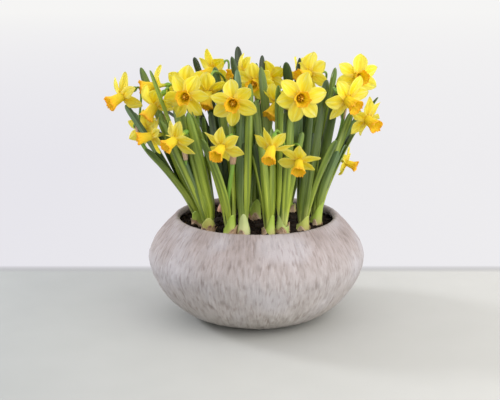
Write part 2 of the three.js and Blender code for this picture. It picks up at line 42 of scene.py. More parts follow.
UP = np.array([0.0, 0.0, 1.0])

# Where chance numbers start. The index of the shoot, stem or flower is added to the last four.
STROKE_SEED = 5
BOWL_SEED = 11
PATCH_SEED = 13
SOIL_SEED = 21
CRUMB_SEED = 31
BULB_SEED = 100
SHOOT_SEED = 200
STEM_SEED = 300
FLOWER_SEED = 400

# The bowl, as in the frame: a squat round belly that closes in to a soft rounded lip
FOOT_RADIUS = 60
FOOT_PULL = 55
FOOT_LIFT = 3
BELLY_RADIUS = 140
BELLY_HEIGHT = 79
BELLY_PULL_DOWN = 18
BELLY_PULL_UP = 15
OPENING_RADIUS = 98.5
BOWL_HEIGHT = 132.5
WALL = 9
FLOOR = 12
LIP_RADIUS = WALL / 2
LIP_TURN = math.radians(46)
SHOULDER_PULL = 28

# The points of the bowl's surface. The lip's rows include both its ends, which the sides bring.
BOWL_ROWS = 104
BOWL_COLUMNS = 640
FOOT_ROWS = 2
LIP_ROWS = 14

# The points on a side's lower and upper curve: many to read places from, few to draw
FINE_ROWS = (60, 60)
INSIDE_ROWS = (12, 14)

# How uneven the bowl is: wavelengths with their heights, and the size of its paler patches
BOWL_RIPPLES = [(60, 0.5), (18, 0.22)]
PATCH_WAVE = 70
SET_BACK = 0.75

# The short combed strokes up and down the bowl's side, half of them drawn towards courses
STROKES = 15000
STROKE_LENGTHS = (3, 8)
STROKE_WIDTHS = (0.9, 1.7)
STROKE_DEPTHS = (0.1, 0.3)
STROKE_SLANT = 0.045
CUT_SHARE = 0.55
COURSE = 27
COURSE_WAVE = 5
COURSE_PULL = 0.55
DEEPEST = -0.95
HIGHEST = 0.75

# The combing goes this far and this many rows over the lip, and fades at the foot and the lip
COMBED_LIP = 8
COMBED_LIP_ROWS = 6
FADED_LIP_ROWS = 8
FADE_AT_FOOT = 12
FADE_AT_LIP = 10

# The soil: a low mound, fullest in the middle, with ripples and crumbs
SOIL_EDGE_HEIGHT = 119
SOIL_HALFWAY_HEIGHT = 124.5
SOIL_MIDDLE_HEIGHT = 126
SOIL_ROWS = 96
SOIL_COLUMNS = 260
SOIL_SIDE_ROWS = (12, 12)
SOIL_RIPPLES = [(26, 1.3), (9, 0.8), (4, 0.4)]
CRUMBS = 700
CRUMB_ROWS = 5
CRUMB_COLUMNS = 7
CRUMB_FIRST_TILT = 0.12
CRUMB_SIZES = (0.7, 2.6)

# The bulbs and the sheaths on their necks
GAP = 0.3
BULB_LENGTH = 45
ROOT_PLATE_RADIUS = 9
NECK_RADIUS = 7
BULB_RINGS = [(15, 10), (14.2, 20), (9.3, 33)]
BULB_ROWS = 34
BULB_COLUMNS = 44
LOOSE_SKINS = 5
SKIN_ROWS = 9
SKIN_COLUMNS = 5
SKIN_LENGTHS = (7, 14)
SHEATH_LENGTH = 26
SHEATH_BELOW = 11
SHEATH_ROWS = 16
SHEATH_COLUMNS = 28

# The strap leaves
LEAF_ROWS = 30
LEAF_COLUMNS = 7
LEAF_SMOOTHING = 160
LEAF_CLEAR = 1.2
LEAF_WIDENED = 1.05
LEAF_CUTS = 12
FEWEST_CORNERS = 12
END_CORNERS = 4
GUIDE_POINTS = 16
ROUNDED_FROM = (0.86, 0.93)
INNER_LENGTHS = (0.5, 0.75)

# Where inner leaves stand between one leaf and its neighbour, for each next pair of leaves
INNER_SHARES = [(0.5,), (), (0.35,), (0.6,)]

# Shoots with their foot further back than this carry leaves painted darker, as shade deep in the clump,
# and no inner ones. A leaf whose tip is in front of the first of these places is painted lighter, as lit
# in front, and from the second on back it is like the others.
BACK_FROM = 0
BACK_PAINTED_SHADE = 0.6
FRONT_LIT_TIPS = [-66, -50]

# The stems, their forks, the stalks and the dry skin at a fork
STEM_RADIUS = 2.9
FORK_RADIUS = 2.4
FORK_DROP = 27
FORK_BEHIND = 9
STEM_ROWS = 26
STEM_FOOT_ROWS = 6
STEM_SIDES = 12
STEM_FLATNESS = 0.86
STALK_RADIUS = 1.47
STALK_RISE = 15
STALK_RUN = 15
STALK_SUNK = 3
STALK_ROWS = 20
STALK_SIDES = 9
SPATHE_LENGTH = 17
SPATHE_ROWS = 14
SPATHE_COLUMNS = 9

# One flower at size 1
PETALS = 6
PETAL_REACH = 29.5
PETAL_ROOT = 4.2
PETAL_HALF_WIDTH = 9.5
PETAL_ROWS = 20
PETAL_COLUMNS = 15
OUTER_WIDER = 1.08
INNER_NARROWER = 0.9
OUTER_BEHIND = 0.8
TRUMPET_LENGTH = 19.5
TRUMPET_FOOT = 4.9
TRUMPET_RADIUS = 6.6
TRUMPET_ROWS = 18
TRUMPET_COLUMNS = 72
TUBE_LENGTH = 22
TUBE_ROWS = 40
TUBE_SIDES = 18
ANTHERS = 6
THREAD_RADII = [0.3, 0.3, 0.35, 0.6, 0.85, 0.9, 0.85, 0.6, 0.15]
THREAD_SIDES = 6
STYLE_RADII = [0.5, 0.5, 0.5, 0.5, 0.5, 0.6, 1.2, 1.35, 0.4]
STYLE_SIDES = 7

# What is painted on a piece whose material doesn't read it
PLAIN = (0.5, 0.5, 0.5)

# Each shoot stands on one nose of a bulb. The tone of its sheath is tan below a third, then green,
# and pale towards 1.
SHOOT_COLUMNS = ("foot", "neck", "sheath", "lean", "bulb", "tone")
SHOOTS = [dict(zip(SHOOT_COLUMNS, row)) for row in (
    ((-74, -14), 127, 9.6, (-0.5, 0.06), 1, 0.45),
    ((-60, -46), 127, 10.5, (-0.22, -0.06), 2, 0.26),
    ((-33, -63), 128, 8.5, (-0.08, -0.04), 3, 0.5),
    ((-16, -65), 129, 7.5, (0, -0.04), 3, 0.82),
    ((15, -66), 128, 8, (-0.02, -0.04), 4, 0.5),
    ((32, -62), 131, 8, (0.04, -0.04), 4, 0.7),
    ((58, -44), 128, 8.5, (0.1, -0.03), 5, 0.29),
    ((76, -12), 127, 9.2, (0.17, -0.02), 6, 0.5),
    ((-38, 52), 148, 9.5, (-0.14, 0.08), 7, 0.6),
    ((-2, 2), 131, 9.5, (0, 0.02), 8, 0.4),
    ((44, 48), 131, 9.8, (0.12, 0.08), 9, 0.6),
)]

# Each flower: the middle of its petals, its turn from the front, its dip, how far its petals
# sweep back and its roll, in degrees, its size, and how wide its petals are. Below 1 they are
# also more pointed.
FLOWER_COLUMNS = ("at", "turn", "dip", "swept", "roll", "size", "slim")
FLOWERS = [dict(zip(FLOWER_COLUMNS, row)) for row in (
    ((-168, -12, 286), -56, 24, 30, 20, 1.05, 0.88),
    ((-143, 22, 240), 150, 10, 15, 20, 0.85, 0.85),
    ((-128, -4, 298), -76, 3, 22, 30, 0.95, 0.85),
    ((-124, -44, 280), -65, 52, 32, 40, 1, 1),
    ((-85, -62, 293), -9, -3, 5, 4, 1, 1),
    ((-90, 6, 296), -15, 3, 5, 23, 1, 1),
    ((-60, -18, 292), -20, 62, 38, 15, 1, 1),
    ((-56, 44, 313), -48, 25, 8, 30, 1, 1),
    ((-28, -78, 288), -4, 1, 4, 37, 1, 1),
    ((-128, -52, 243), -78, 8, 26, 25, 0.9, 0.8),
    ((-97, -88, 245), -52, 26, 20, 5, 0.95, 0.82),
    ((-41, -108, 240), -27, 28, 16, 30, 0.95, 0.8),
    ((-18, 14, 313), -62, 10, 12, 45, 0.95, 1),
    ((-2, -22, 305), -14, 10, 6, 40, 0.9, 1),
    ((17, 28, 303), 160, 4, 20, 20, 0.9, 1),
    ((67, 18, 310), -52, 4, 12, 35, 1, 1),
    ((54, 52, 305), -80, 6, 15, 10, 0.9, 1),
    ((51, -86, 295), 6, -2, 4, 10, 1.05, 1),
    ((25, -46, 282), -45, 47, 25, 30, 1, 1),
    ((128, 14, 307), 14, -4, 6, 25, 1, 1),
    ((110, -46, 287), 38, 26, 10, 10, 1.08, 1),
    ((137, -28, 260), 38, 25, 10, 45, 1, 0.85),
    ((17, -112, 240), -17, 46, 22, -20, 0.95, 0.76),
    ((50, -92, 220), -5, 38, 6, 15, 0.9, 0.8),
    ((120, 50, 189), 68, 18, 14, 20, 0.75, 0.85),
)]

# Each stem: its shoot, where it stands in the sheath, its flowers and its fork's offset
STEM_COLUMNS = ("shoot", "stand", "flowers", "fork")
STEMS = [dict(zip(STEM_COLUMNS, row)) for row in (
    (1, (-3.4, 0), (1, 2), (0, 0, 0)),
    (1, (3.4, 0), (3, 4), (-12, 6, -6)),
    (2, (-4, 0), (10, 11), (0, 0, 0)),
    (2, (4, 0), (5, 6), (6, 10, -4)),
    (9, (0, 0), (7, 8), (6, 10, 0)),
    (4, (0, 0), (9,), (0, 0, 0)),
    (3, (0, 0), (12,), (0, 0, 0)),
    (10, (0, 0), (13, 14, 15), (-5, -2, -4)),
    (11, (-3.4, 0), (16, 17), (0, 0, 0)),
    (7, (0, 0), (18, 19), (0, 0, 0)),
    (8, (0, 0), (20, 21, 22), (0, 0, 0)),
    (6, (0, 0), (23, 24), (-2, 13, 3)),
    (11, (3.4, 0), (25,), (0, 0, 0)),
)]

# The camera, from the photograph's view
CAMERA_DISTANCE = 1400
CAMERA_RAISED = math.radians(13.5)
CAMERA_AIM = (-8.2, 0, 150.5)
CAMERA_LENS = 78.4
CAMERA_SENSOR = 36

# How far the camera sees, the table and the lamps, in metres
CAMERA_REACH = 20
TABLE_HALF = 60
TABLE_FAR_EDGE = 0.172
LAMP_AIM = (0, 0, 0.15)


# Small helpers for points and curves

def unit(vector):
    vector = np.asarray(vector, float)
    return vector / np.linalg.norm(vector, axis=-1, keepdims=True)


def eased(share):
    share = np.clip(share, 0, 1)
    return share * share * (3 - 2 * share)


def wave(angle, draw):
    """The sine of an angle, from a start left to chance."""
    return np.sin(angle + draw.uniform(0, 6))


def ripple(points, wavelength, seed, waves=14):
    """Smooth uneven numbers, mostly from -1 to 1, at the given points."""
    draw = np.random.default_rng(seed)
    directions = unit(draw.normal(size=(waves, 3)))
    directions = directions * (2 * math.pi / wavelength * draw.uniform(0.6, 1.7, (waves, 1)))
    phases = draw.uniform(0, 2 * math.pi, waves)
    return np.sin(np.asarray(points) @ directions.T + phases).mean(axis=-1) * 2.2


def ripples(points, kinds, seed):
    """The sum of ripples of several wavelengths and heights, each with the next seed."""
    total = 0
    for i, (wavelength, height) in enumerate(kinds):
        total = total + ripple(points, wavelength, seed + i) * height
    return total


def around(count):
    """Turns in even steps once round."""
    return np.arange(count) * 2 * math.pi / count


def way_round(count):
    """From -1 towards 1 in even steps once round, to be painted."""
    return np.arange(count) * 2 / count - 1


def turned_points(radius, turns, height):
    """Points at a radius and a height for each turn about the upright axis."""
    radius, turns, height = np.broadcast_arrays(radius, turns, height)
    return np.stack([radius * np.cos(turns), radius * np.sin(turns), height], -1)


def spun(points, turn):
    """The points turned about the upright axis."""
    cos, sin = math.cos(turn), math.sin(turn)
    return points @ np.array([[cos, sin, 0], [-sin, cos, 0], [0, 0, 1]])


def bezier(corners, shares):
    """Points of a quadratic or cubic curve at shares from 0 to 1."""
    corners = np.asarray(corners, float)
    shares = np.asarray(shares, float)[:, None]
    order = len(corners) - 1
    total = 0
    for i, corner in enumerate(corners):
        total = total + math.comb(order, i) * shares ** i * (1 - shares) ** (order - i) * corner
    return total


def through(points, count):
    """A smooth curve through the given points, as count points evenly spread over them."""
    points = np.asarray(points, float)
    padded = np.vstack([2 * points[0] - points[1], points, 2 * points[-1] - points[-2]])
    places = np.linspace(0, len(points) - 1, count)
    start = np.minimum(places.astype(int), len(points) - 2)
    t = (places - start)[:, None]
    a, b, c, d = (padded[start + i] for i in range(4))
    bend = (2 * a - 5 * b + 4 * c - d) * t ** 2 + (3 * b - a - 3 * c + d) * t ** 3
    return 0.5 * (2 * b + (c - a) * t + bend)


def travelled_along(line):
    """How far each point of a line lies from its start."""
    return np.concatenate([[0], np.cumsum(np.linalg.norm(np.diff(line, axis=0), axis=1))])


def at_shares(line, shares):
    """The same line at the given shares of its length."""
    length = travelled_along(line)
    wanted = shares * length[-1]
    return np.stack([np.interp(wanted, length, line[:, k]) for k in range(line.shape[1])], 1)


def tangents(line):
    return unit(np.gradient(line, axis=0))


def beside(line, one, towards_one, other, towards_other):
    """Points beside a line, each so far towards one side of it and so far towards another."""
    aside = one[:, None] * towards_one[..., None]
    return line[:, None] + aside + other[:, None] * towards_other[..., None]


# Meshes are gathered from grids of points

def along_rows(count):
    """Shares from 0 to 1, one for each row of a grid."""
    return np.linspace(0, 1, count)[:, None]


def over_columns(count):
    """From -1 to 1, one for each column of a grid."""
    return np.linspace(-1, 1, count)[None]


def added(name, data):
    """A new thing in the scene."""
    thing = bpy.data.objects.new(name, data)
    bpy.context.scene.collection.objects.link(thing)
    return thing


class Gathered:
    """Grids of points joined into one mesh, with painted values for its materials to read."""

    def __init__(self):
        self.points = []
        self.paint = []
        self.faces = []
        self.material_of_face = []
        self.count = 0

    def add_points(self, points, paint):
        """Adds a grid of points with three painted values, each a number or one for every point."""
        first = self.count
        shape = points.shape[:2]
        self.points.append(points.reshape(-1, 3))
        self.paint.append(np.stack([np.broadcast_to(value, shape).ravel() for value in paint], 1))
        self.count += shape[0] * shape[1]
        return first

    def add_faces(self, faces, material):
        self.faces.extend(faces)
        self.material_of_face.extend([material] * len(faces))

    def body(self, rings, paint, material=0, turned=False):
        """A closed body through rings of points. turned is for rings that run the other way."""
        rows, columns = rings.shape[:2]
        first = self.add_points(rings, paint)
        ring = first + np.arange(columns)
        faces = grid_faces(rows, columns, True, first).tolist()
        faces += [ring[::-1].tolist(), (ring + (rows - 1) * columns).tolist()]
        if turned:
            faces = [face[::-1] for face in faces]
        self.add_faces(faces, material)

    def sheet(self, points, thickness, paint, material=0, wrap=False):
        """A thin closed sheet: the grid's front and back with a rim between them."""
        rows, columns = points.shape[:2]
        half = grid_normals(points, wrap) * np.broadcast_to(thickness, (rows, columns))[..., None] / 2
        front = self.add_points(points + half, paint)
        back = self.add_points(points - half, paint)
        faces = grid_faces(rows, columns, wrap, front)
        self.add_faces(faces.tolist(), material)
        self.add_faces((faces[:, ::-1] + back - front).tolist(), material)
        index = np.arange(rows * columns).reshape(rows, columns)
        if wrap:
            edges = [np.append(index[0], index[0, 0]), np.append(index[-1], index[-1, 0])[::-1]]
        else:
            edges = [index[0], index[-1][::-1], index[:, -1], index[::-1, 0]]
        for edge in edges:
            rim = [edge[1:], edge[:-1], edge[:-1] + back - front, edge[1:] + back - front]
            self.add_faces((np.stack(rim, 1) + front).tolist(), material)

    def made(self, name, materials, replaced=()):
        """The finished piece, riding on the one body of the frame."""
        mesh = bpy.data.meshes.new(name)
        points = np.concatenate(self.points) * MM
        mesh.from_pydata(points.tolist(), [], self.faces)
        store(mesh, "paint", np.concatenate(self.paint))
        for material in materials:
            mesh.materials.append(material)
        mesh.polygons.foreach_set("material_index", self.material_of_face)
        mesh.polygons.foreach_set("use_smooth", np.ones(len(self.faces), bool))
        mesh.update()
        piece = added(name, mesh)
        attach(piece, "root")
        if replaced:
            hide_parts(*replaced)
        return piece


def store(mesh, name, vectors):
    """Keeps a vector for each point of a mesh, for its materials to read by this name."""
    attribute = mesh.attributes.new(name, "FLOAT_VECTOR", "POINT")
    attribute.data.foreach_set("vector", vectors.astype(np.float32).ravel())


def grid_faces(rows, columns, wrap, first):
    row, column = np.meshgrid(np.arange(rows - 1), np.arange(columns - (not wrap)), indexing="ij")
    after = (column + 1) % columns
    corners = [row * columns + column, row * columns + after]
    corners += [(row + 1) * columns + after, (row + 1) * columns + column]
    return np.stack(corners, -1).reshape(-1, 4) + first


def grid_normals(points, wrap):
    if wrap:
        ring = np.concatenate([points[:, -1:], points, points[:, :1]], axis=1)
        aside = np.gradient(ring, axis=1)[:, 1:-1]
    else:
        aside = np.gradient(points, axis=1)
    normal = np.cross(aside, np.gradient(points, axis=0))
    return normal / np.maximum(np.linalg.norm(normal, axis=-1, keepdims=True), 1e-9)


def tube_rings(line, radii, sides, reference, flatten=1.0):
    """Rings of points around a line. reference is where the first point of a ring lies."""
    tangent = tangents(line)
    across = unit(reference - tangent * (tangent @ reference)[:, None])
    other = np.cross(tangent, across) * flatten
    ring = turned_points(np.broadcast_to(radii, len(line))[:, None], around(sides), 0)
    return beside(line, across, ring[..., 0], other, ring[..., 1])


# Materials are trees of procedural nodes

class Look:
    """A material's nodes, with short names for the ones used most."""

    def __init__(self, name, roughness, specular):
        self.material = bpy.data.materials.new(name)
        self.material.use_nodes = True
        self.tree = self.material.node_tree
        self.shader = self.tree.nodes["Principled BSDF"]
        self.shader.inputs["Roughness"].default_value = roughness
        self.shader.inputs["Specular IOR Level"].default_value = specular

    def feed(self, socket, source):
        """Gives a socket another node's output, a number, a vector or a linear colour."""
        if isinstance(source, bpy.types.NodeSocket):
            self.tree.links.new(source, socket)
        elif socket.type == "RGBA":
            socket.default_value = (*source, 1)
        else:
            socket.default_value = source

    def node(self, kind, sources, **settings):
        """A new node with these settings, whose sockets are fed by name or number."""
        node = self.tree.nodes.new(kind)
        for name, value in settings.items():
            setattr(node, name, value)
        for socket, source in sources.items():
            self.feed(node.inputs[socket], source)
        return node

    def stored(self, name):
        """The vector that is kept for each point under this name."""
        return self.node("ShaderNodeAttribute", {}, attribute_name=name).outputs["Vector"]

    def split(self, vector):
        return self.node("ShaderNodeSeparateXYZ", {0: vector}).outputs

    def painted(self):
        """The three painted values, on most pieces along, aside and tone."""
        return self.split(self.stored("paint"))

    def place(self):
        return self.node("ShaderNodeTexCoord", {}).outputs["Object"]

    def math(self, operation, one, other=0.0, clamp=False):
        sources = {0: one, 1: other}
        return self.node("ShaderNodeMath", sources, operation=operation, use_clamp=clamp).outputs[0]

    def plus(self, one, other, clamp=False):
        return self.math("ADD", one, other, clamp)

    def times(self, one, other, clamp=False):
        return self.math("MULTIPLY", one, other, clamp)

    def weighed(self, shares):
        """The sum of several values, each times its own share."""
        total = 0.0
        for value, share in shares:
            total = self.plus(total, self.times(value, share))
        return total

    def swayed(self, value, noise, amount):
        """A value that a noise pushes up and down."""
        return self.plus(value, self.times(self.plus(noise, -0.5), amount))

    def scaled(self, vector, scale):
        return self.node("ShaderNodeVectorMath", {0: vector, 1: scale}, operation="MULTIPLY").outputs[0]

    def noise(self, vector, scale, detail=3.0, roughness=0.5):
        sources = {"Vector": vector, "Scale": scale, "Detail": detail, "Roughness": roughness}
        return self.node("ShaderNodeTexNoise", sources).outputs["Fac"]

    def lines(self, painted, often, scale, detail, roughness=0.5):
        """Drawn out noise. often says how fast it changes along a piece and across it."""
        along, aside, tone = painted
        sources = {0: self.times(aside, often[1]), 1: self.times(along, often[0]), 2: tone}
        vector = self.node("ShaderNodeCombineXYZ", sources).outputs[0]
        return self.noise(vector, scale, detail, roughness)

    def ramp(self, factor, stops):
        """A colour for each factor. Each stop is a place and a linear colour."""
        node = self.node("ShaderNodeValToRGB", {0: factor})
        elements = node.color_ramp.elements
        while len(elements) < len(stops):
            elements.new(0.5)
        for element, (place, colour) in zip(elements, stops):
            element.position = place
            element.color = (*colour, 1)
        return node.outputs[0]

    def rise(self, factor, start, end, low=0, high=1):
        """A grey that goes from low to high between two factors."""
        return self.ramp(factor, [(start, (low,) * 3), (end, (high,) * 3)])

    def mix(self, factor, one, other, blend="MIX"):
        sources = {0: factor, 6: one, 7: other}
        return self.node("ShaderNodeMix", sources, data_type="RGBA", blend_type=blend).outputs[2]

    def tinted(self, colour, tint, share=1.0):
        return self.mix(share, colour, tint, "MULTIPLY")

    def coloured(self, colour):
        self.feed(self.shader.inputs["Base Color"], colour)

    def finished(self, colour, height, strength, distance):
        """The material in this colour, its surface raised and lowered by the height."""
        self.coloured(colour)
        sources = {"Strength": strength, "Distance": distance, "Height": height}
        self.feed(self.shader.inputs["Normal"], self.node("ShaderNodeBump", sources).outputs[0])
        return self.material

    def blended(self, share, other):
        """Shows a share of another shader in place of the main one."""
        blend = self.node("ShaderNodeMixShader", {0: share, 1: self.shader.outputs[0], 2: other})
        self.feed(self.tree.nodes["Material Output"].inputs["Surface"], blend.outputs[0])

    def see_light_through(self, colour, share):
        """Lets part of the light through a thin leaf or petal."""
        self.blended(share, self.node("ShaderNodeBsdfTranslucent", {"Color": colour}).outputs[0])


def bowl_look():
    """Combed cement: pale strokes over a darker taupe body. Painted: stroke relief, way up, patch."""
    look = Look("combed_cement", 0.93, 0.2)
    relief, height, patch = look.painted()
    side = look.stored("meridian")
    streaks = look.noise(look.scaled(side, (1, 1, 0.13)), 380, 3, 0.6)
    broad = look.noise(look.scaled(side, (1, 1, 0.4)), 110, 2)
    dashes = look.noise(look.scaled(side, (1, 1, 0.26)), 330, 1, 0.4)
    clouds = look.noise(look.place(), 22, 4, 0.55)
    grain = look.noise(look.place(), 900, 3, 0.7)
    tone = look.weighed([(relief, 0.5), (streaks, 0.75), (broad, 0.4), (clouds, 0.45)])
    body = look.ramp(look.plus(tone, -0.55), [
        (0.14, (0.3, 0.272, 0.265)),
        (0.4, (0.375, 0.347, 0.34)),
        (0.6, (0.424, 0.396, 0.394)),
        (0.85, (0.475, 0.455, 0.462)),
    ])
    # Painted light: low on the side the colour is made up to 1.09 times lighter and a little greener, for
    # the light the table throws back up; towards the lip it grows darker.
    body = look.tinted(body, look.ramp(height, [
        (0.0, (1.02, 1.03, 0.94)),
        (0.3, (1.09, 1.08, 1.05)),
        (0.55, (0.99, 0.985, 0.99)),
        (0.82, (0.87, 0.82, 0.815)),
        (0.95, (0.76, 0.7, 0.69)),
        (1.0, (0.74, 0.68, 0.66)),
    ]))
    body = look.mix(look.times(patch, 0.45), body, (0.49, 0.48, 0.515))
    body = look.tinted(body, look.ramp(dashes, [(0.3, (0.74, 0.7, 0.68)), (0.44, (1, 1, 1))]), 0.7)
    body = look.tinted(body, look.ramp(grain, [(0.3, (0.55, 0.51, 0.48)), (0.7, (1, 1, 1))]), 0.22)
    return look.finished(body, look.weighed([(streaks, 0.8), (grain, 0.4)]), 0.45, 0.0009)


def soil_look():
    look = Look("peat", 1.0, 0.15)
    lumps = look.noise(look.place(), 160, 6, 0.7)
    fibres = look.noise(look.scaled(look.place(), (1, 0.3, 1)), 900, 3, 0.6)
    colour = look.ramp(lumps, [
        (0.3, (0.006, 0.004, 0.003)),
        (0.5, (0.02, 0.013, 0.009)),
        (0.66, (0.048, 0.031, 0.021)),
        (0.8, (0.1, 0.065, 0.042)),
    ])
    light = look.ramp(fibres, [(0.5, (0.4, 0.4, 0.4)), (0.7, (1.8, 1.5, 1.2))])
    return look.finished(look.tinted(colour, light, 0.35), lumps, 0.9, 0.003)


def bulb_look():
    """Dry brown skins over a paler bulb. Painted: way up the bulb, way round it, tone."""
    look = Look("bulb_skin", 0.62, 0.4)
    painted = look.painted()
    lines = look.lines(painted, (1.2, 22), 3, 5, 0.65)
    patches = look.noise(look.place(), 75, 3, 0.6)
    colour = look.ramp(look.weighed([(lines, 0.6), (patches, 0.45)]), [
        (0.32, (0.1, 0.038, 0.02)),
        (0.46, (0.3, 0.13, 0.06)),
        (0.6, (0.52, 0.29, 0.17)),
        (0.75, (0.72, 0.5, 0.36)),
    ])
    neck = look.rise(painted[0], 0.78, 1.0, high=0.8)
    return look.finished(look.mix(neck, colour, (0.72, 0.6, 0.4)), lines, 0.6, 0.0012)


def paper_look():
    """Dry papery skins and spathes. Painted: way up, way across, tone."""
    look = Look("dry_paper", 0.6, 0.35)
    painted = look.painted()
    lines = look.lines(painted, (0.8, 9), 4, 4, 0.6)
    colour = look.ramp(look.plus(lines, look.times(painted[2], 0.25)), [
        (0.4, (0.3, 0.15, 0.07)),
        (0.58, (0.6, 0.4, 0.24)),
        (0.8, (0.8, 0.64, 0.46)),
    ])
    look.see_light_through(colour, 0.3)
    return look.finished(colour, lines, 0.5, 0.0006)


def sheath_look():
    """The skin around the foot of a shoot: tan, pale or fresh green. Painted: way up, round, tone."""
    look = Look("pale_sheath", 0.45, 0.45)
    painted = look.painted()
    up, _, tone = painted
    lines = look.lines(painted, (0.7, 16), 4, 3, 0.6)
    way = look.swayed(up, lines, 0.5)
    green = look.ramp(way, [
        (0.0, (0.58, 0.42, 0.22)),
        (0.25, (0.6, 0.6, 0.22)),
        (0.6, (0.42, 0.55, 0.09)),
        (1.0, (0.3, 0.43, 0.05)),
    ])
    dry = look.ramp(way, [
        (0.0, (0.5, 0.28, 0.14)),
        (0.3, (0.66, 0.5, 0.2)),
        (1.0, (0.6, 0.6, 0.17)),
    ])
    colour = look.mix(look.rise(tone, 0.22, 0.34, 1, 0), green, dry)
    colour = look.mix(look.rise(tone, 0.6, 0.9, high=0.8), colour, (0.7, 0.73, 0.42))
    look.see_light_through(colour, 0.12)
    return look.finished(colour, lines, 0.4, 0.0005)


def leaf_look():
    """Strap leaves, bright at the foot, from yellow-green to bluish, with painted sheen and shade.
    Painted: way up, across, tone.
    """
    look = Look("strap_leaf", 0.36, 0.5)
    painted = look.painted()
    up, across, tone = painted
    veins = look.lines(painted, (0.25, 7), 5, 2)
    streaks = look.lines((up, across, look.times(tone, 40)), (1.5, 1.7), 1, 2)
    way = look.swayed(up, look.noise(look.place(), 26), 0.3)
    fresh_and_lit = look.ramp(way, [
        (0.03, (0.62, 0.7, 0.2)),
        (0.16, (0.45, 0.55, 0.06)),
        (0.4, (0.36, 0.46, 0.045)),
        (0.7, (0.26, 0.36, 0.05)),
        (1.0, (0.17, 0.27, 0.05)),
    ])
    grown_and_shaded = look.ramp(way, [
        (0.03, (0.42, 0.46, 0.12)),
        (0.16, (0.14, 0.21, 0.025)),
        (0.45, (0.055, 0.095, 0.02)),
        (1.0, (0.05, 0.088, 0.03)),
    ])
    # The tone picks between the two greens: high on back and inner leaves as painted shade, low on leaves
    # in front as painted light.
    colour = look.mix(look.rise(tone, 0.3, 0.75), fresh_and_lit, grown_and_shaded)
    bluish = look.times(look.rise(tone, 0.45, 0.5), look.rise(tone, 0.62, 0.67, 1, 0))
    colour = look.mix(look.times(bluish, look.times(up, 0.6)), colour, (0.2, 0.34, 0.2))
    light = look.ramp(veins, [(0.32, (0.7, 0.76, 0.7)), (0.68, (1.22, 1.16, 1.12))])
    colour = look.tinted(colour, light, 0.7)
    # Painted sheen and shade: broad streaks along the leaf, dark bands as shade across part of its width
    # and pale bluish lines as sheen.
    broad = look.ramp(streaks, [
        (0.36, (0.42, 0.47, 0.42)),
        (0.5, (0.95, 0.97, 0.95)),
        (0.64, (1.45, 1.34, 1.7)),
    ])
    colour = look.tinted(colour, broad, 0.85)
    # Painted shade: the highest tones, on back and inner leaves, are darkened to about 0.4 more.
    colour = look.tinted(colour, look.ramp(tone, [(0.78, (1, 1, 1)), (0.98, (0.4, 0.45, 0.45))]))
    look.see_light_through(look.mix(0.5, colour, (0.38, 0.55, 0.03)), 0.28)
    return look.finished(colour, veins, 0.35, 0.0005)


def stem_look():
    """Smooth stems, paler at the foot. Painted: way up, way round, tone."""
    look = Look("flower_stem", 0.4, 0.45)
    painted = look.painted()
    lines = look.lines(painted, (0.5, 8), 4, 3)
    colour = look.ramp(look.swayed(painted[0], lines, 0.4), [
        (0.0, (0.42, 0.58, 0.12)),
        (0.4, (0.22, 0.4, 0.05)),
        (1.0, (0.2, 0.36, 0.05)),
    ])
    look.see_light_through(colour, 0.12)
    return look.finished(colour, lines, 0.3, 0.0005)


def petal_look():
    """Lemon petals, paler at their edges, with long veins and painted streaks of highlight and shade.
    Painted: way out, across, tone.
    """
    look = Look("petal", 0.42, 0.45)
    painted = look.painted()
    out, across, tone = painted
    veins = look.lines(painted, (0.5, 5.5), 5, 3)
    streaks = look.lines(painted, (1.1, 3.2), 1, 2)
    colour = look.ramp(look.swayed(out, look.noise(look.place(), 240), 0.25), [
        (0.0, (0.97, 0.72, 0.018)),
        (0.25, (0.97, 0.84, 0.033)),
        (0.6, (0.95, 0.89, 0.07)),
        (1.0, (0.95, 0.92, 0.15)),
    ])
    # Veins: the low ones darker and more golden, partly the petal's own veining and partly painted shade;
    # the high ones pale and bluish, a painted highlight.
    darker = look.ramp(veins, [
        (0.32, (0.97, 0.87, 0.45)),
        (0.5, (1, 0.99, 0.9)),
        (0.72, (1.0, 1.04, 2.4)),
    ])
    colour = look.tinted(colour, darker, 0.6)
    # Painted light: broad streaks along the petal, darker and golden in the low ones as painted shade,
    # pale and bluish-white in the high ones as painted highlight.
    broad = look.ramp(streaks, [
        (0.36, (0.97, 0.84, 0.35)),
        (0.5, (1, 0.99, 0.9)),
        (0.64, (1.0, 1.05, 4.2)),
    ])
    colour = look.tinted(colour, broad, 0.8)
    # Paler towards the edges, partly the petal's own colour and partly a painted highlight along its
    # edges.
    edge = look.rise(look.math("ABSOLUTE", across), 0.5, 1.0, high=0.55)
    colour = look.mix(edge, colour, (0.95, 0.95, 0.36))
    colour = look.mix(look.times(tone, 0.35), colour, (0.98, 0.93, 0.25))
    look.see_light_through(look.mix(0.5, colour, (0.97, 0.88, 0.05)), 0.58)
    return look.finished(colour, veins, 0.7, 0.001)


def trumpet_look():
    """The frilled trumpet, deeper orange at its mouth. Painted: way out, way round, tone."""
    look = Look("trumpet", 0.5, 0.3)
    painted = look.painted()
    ribs = look.lines(painted, (0.6, 14), 4, 3)
    colour = look.ramp(look.swayed(painted[0], ribs, 0.5), [
        (0.0, (0.97, 0.86, 0.05)),
        (0.5, (0.97, 0.8, 0.045)),
        (0.85, (0.95, 0.71, 0.04)),
        (1.0, (0.95, 0.57, 0.035)),
    ])
    look.see_light_through(colour, 0.45)
    return look.finished(colour, ribs, 0.6, 0.001)


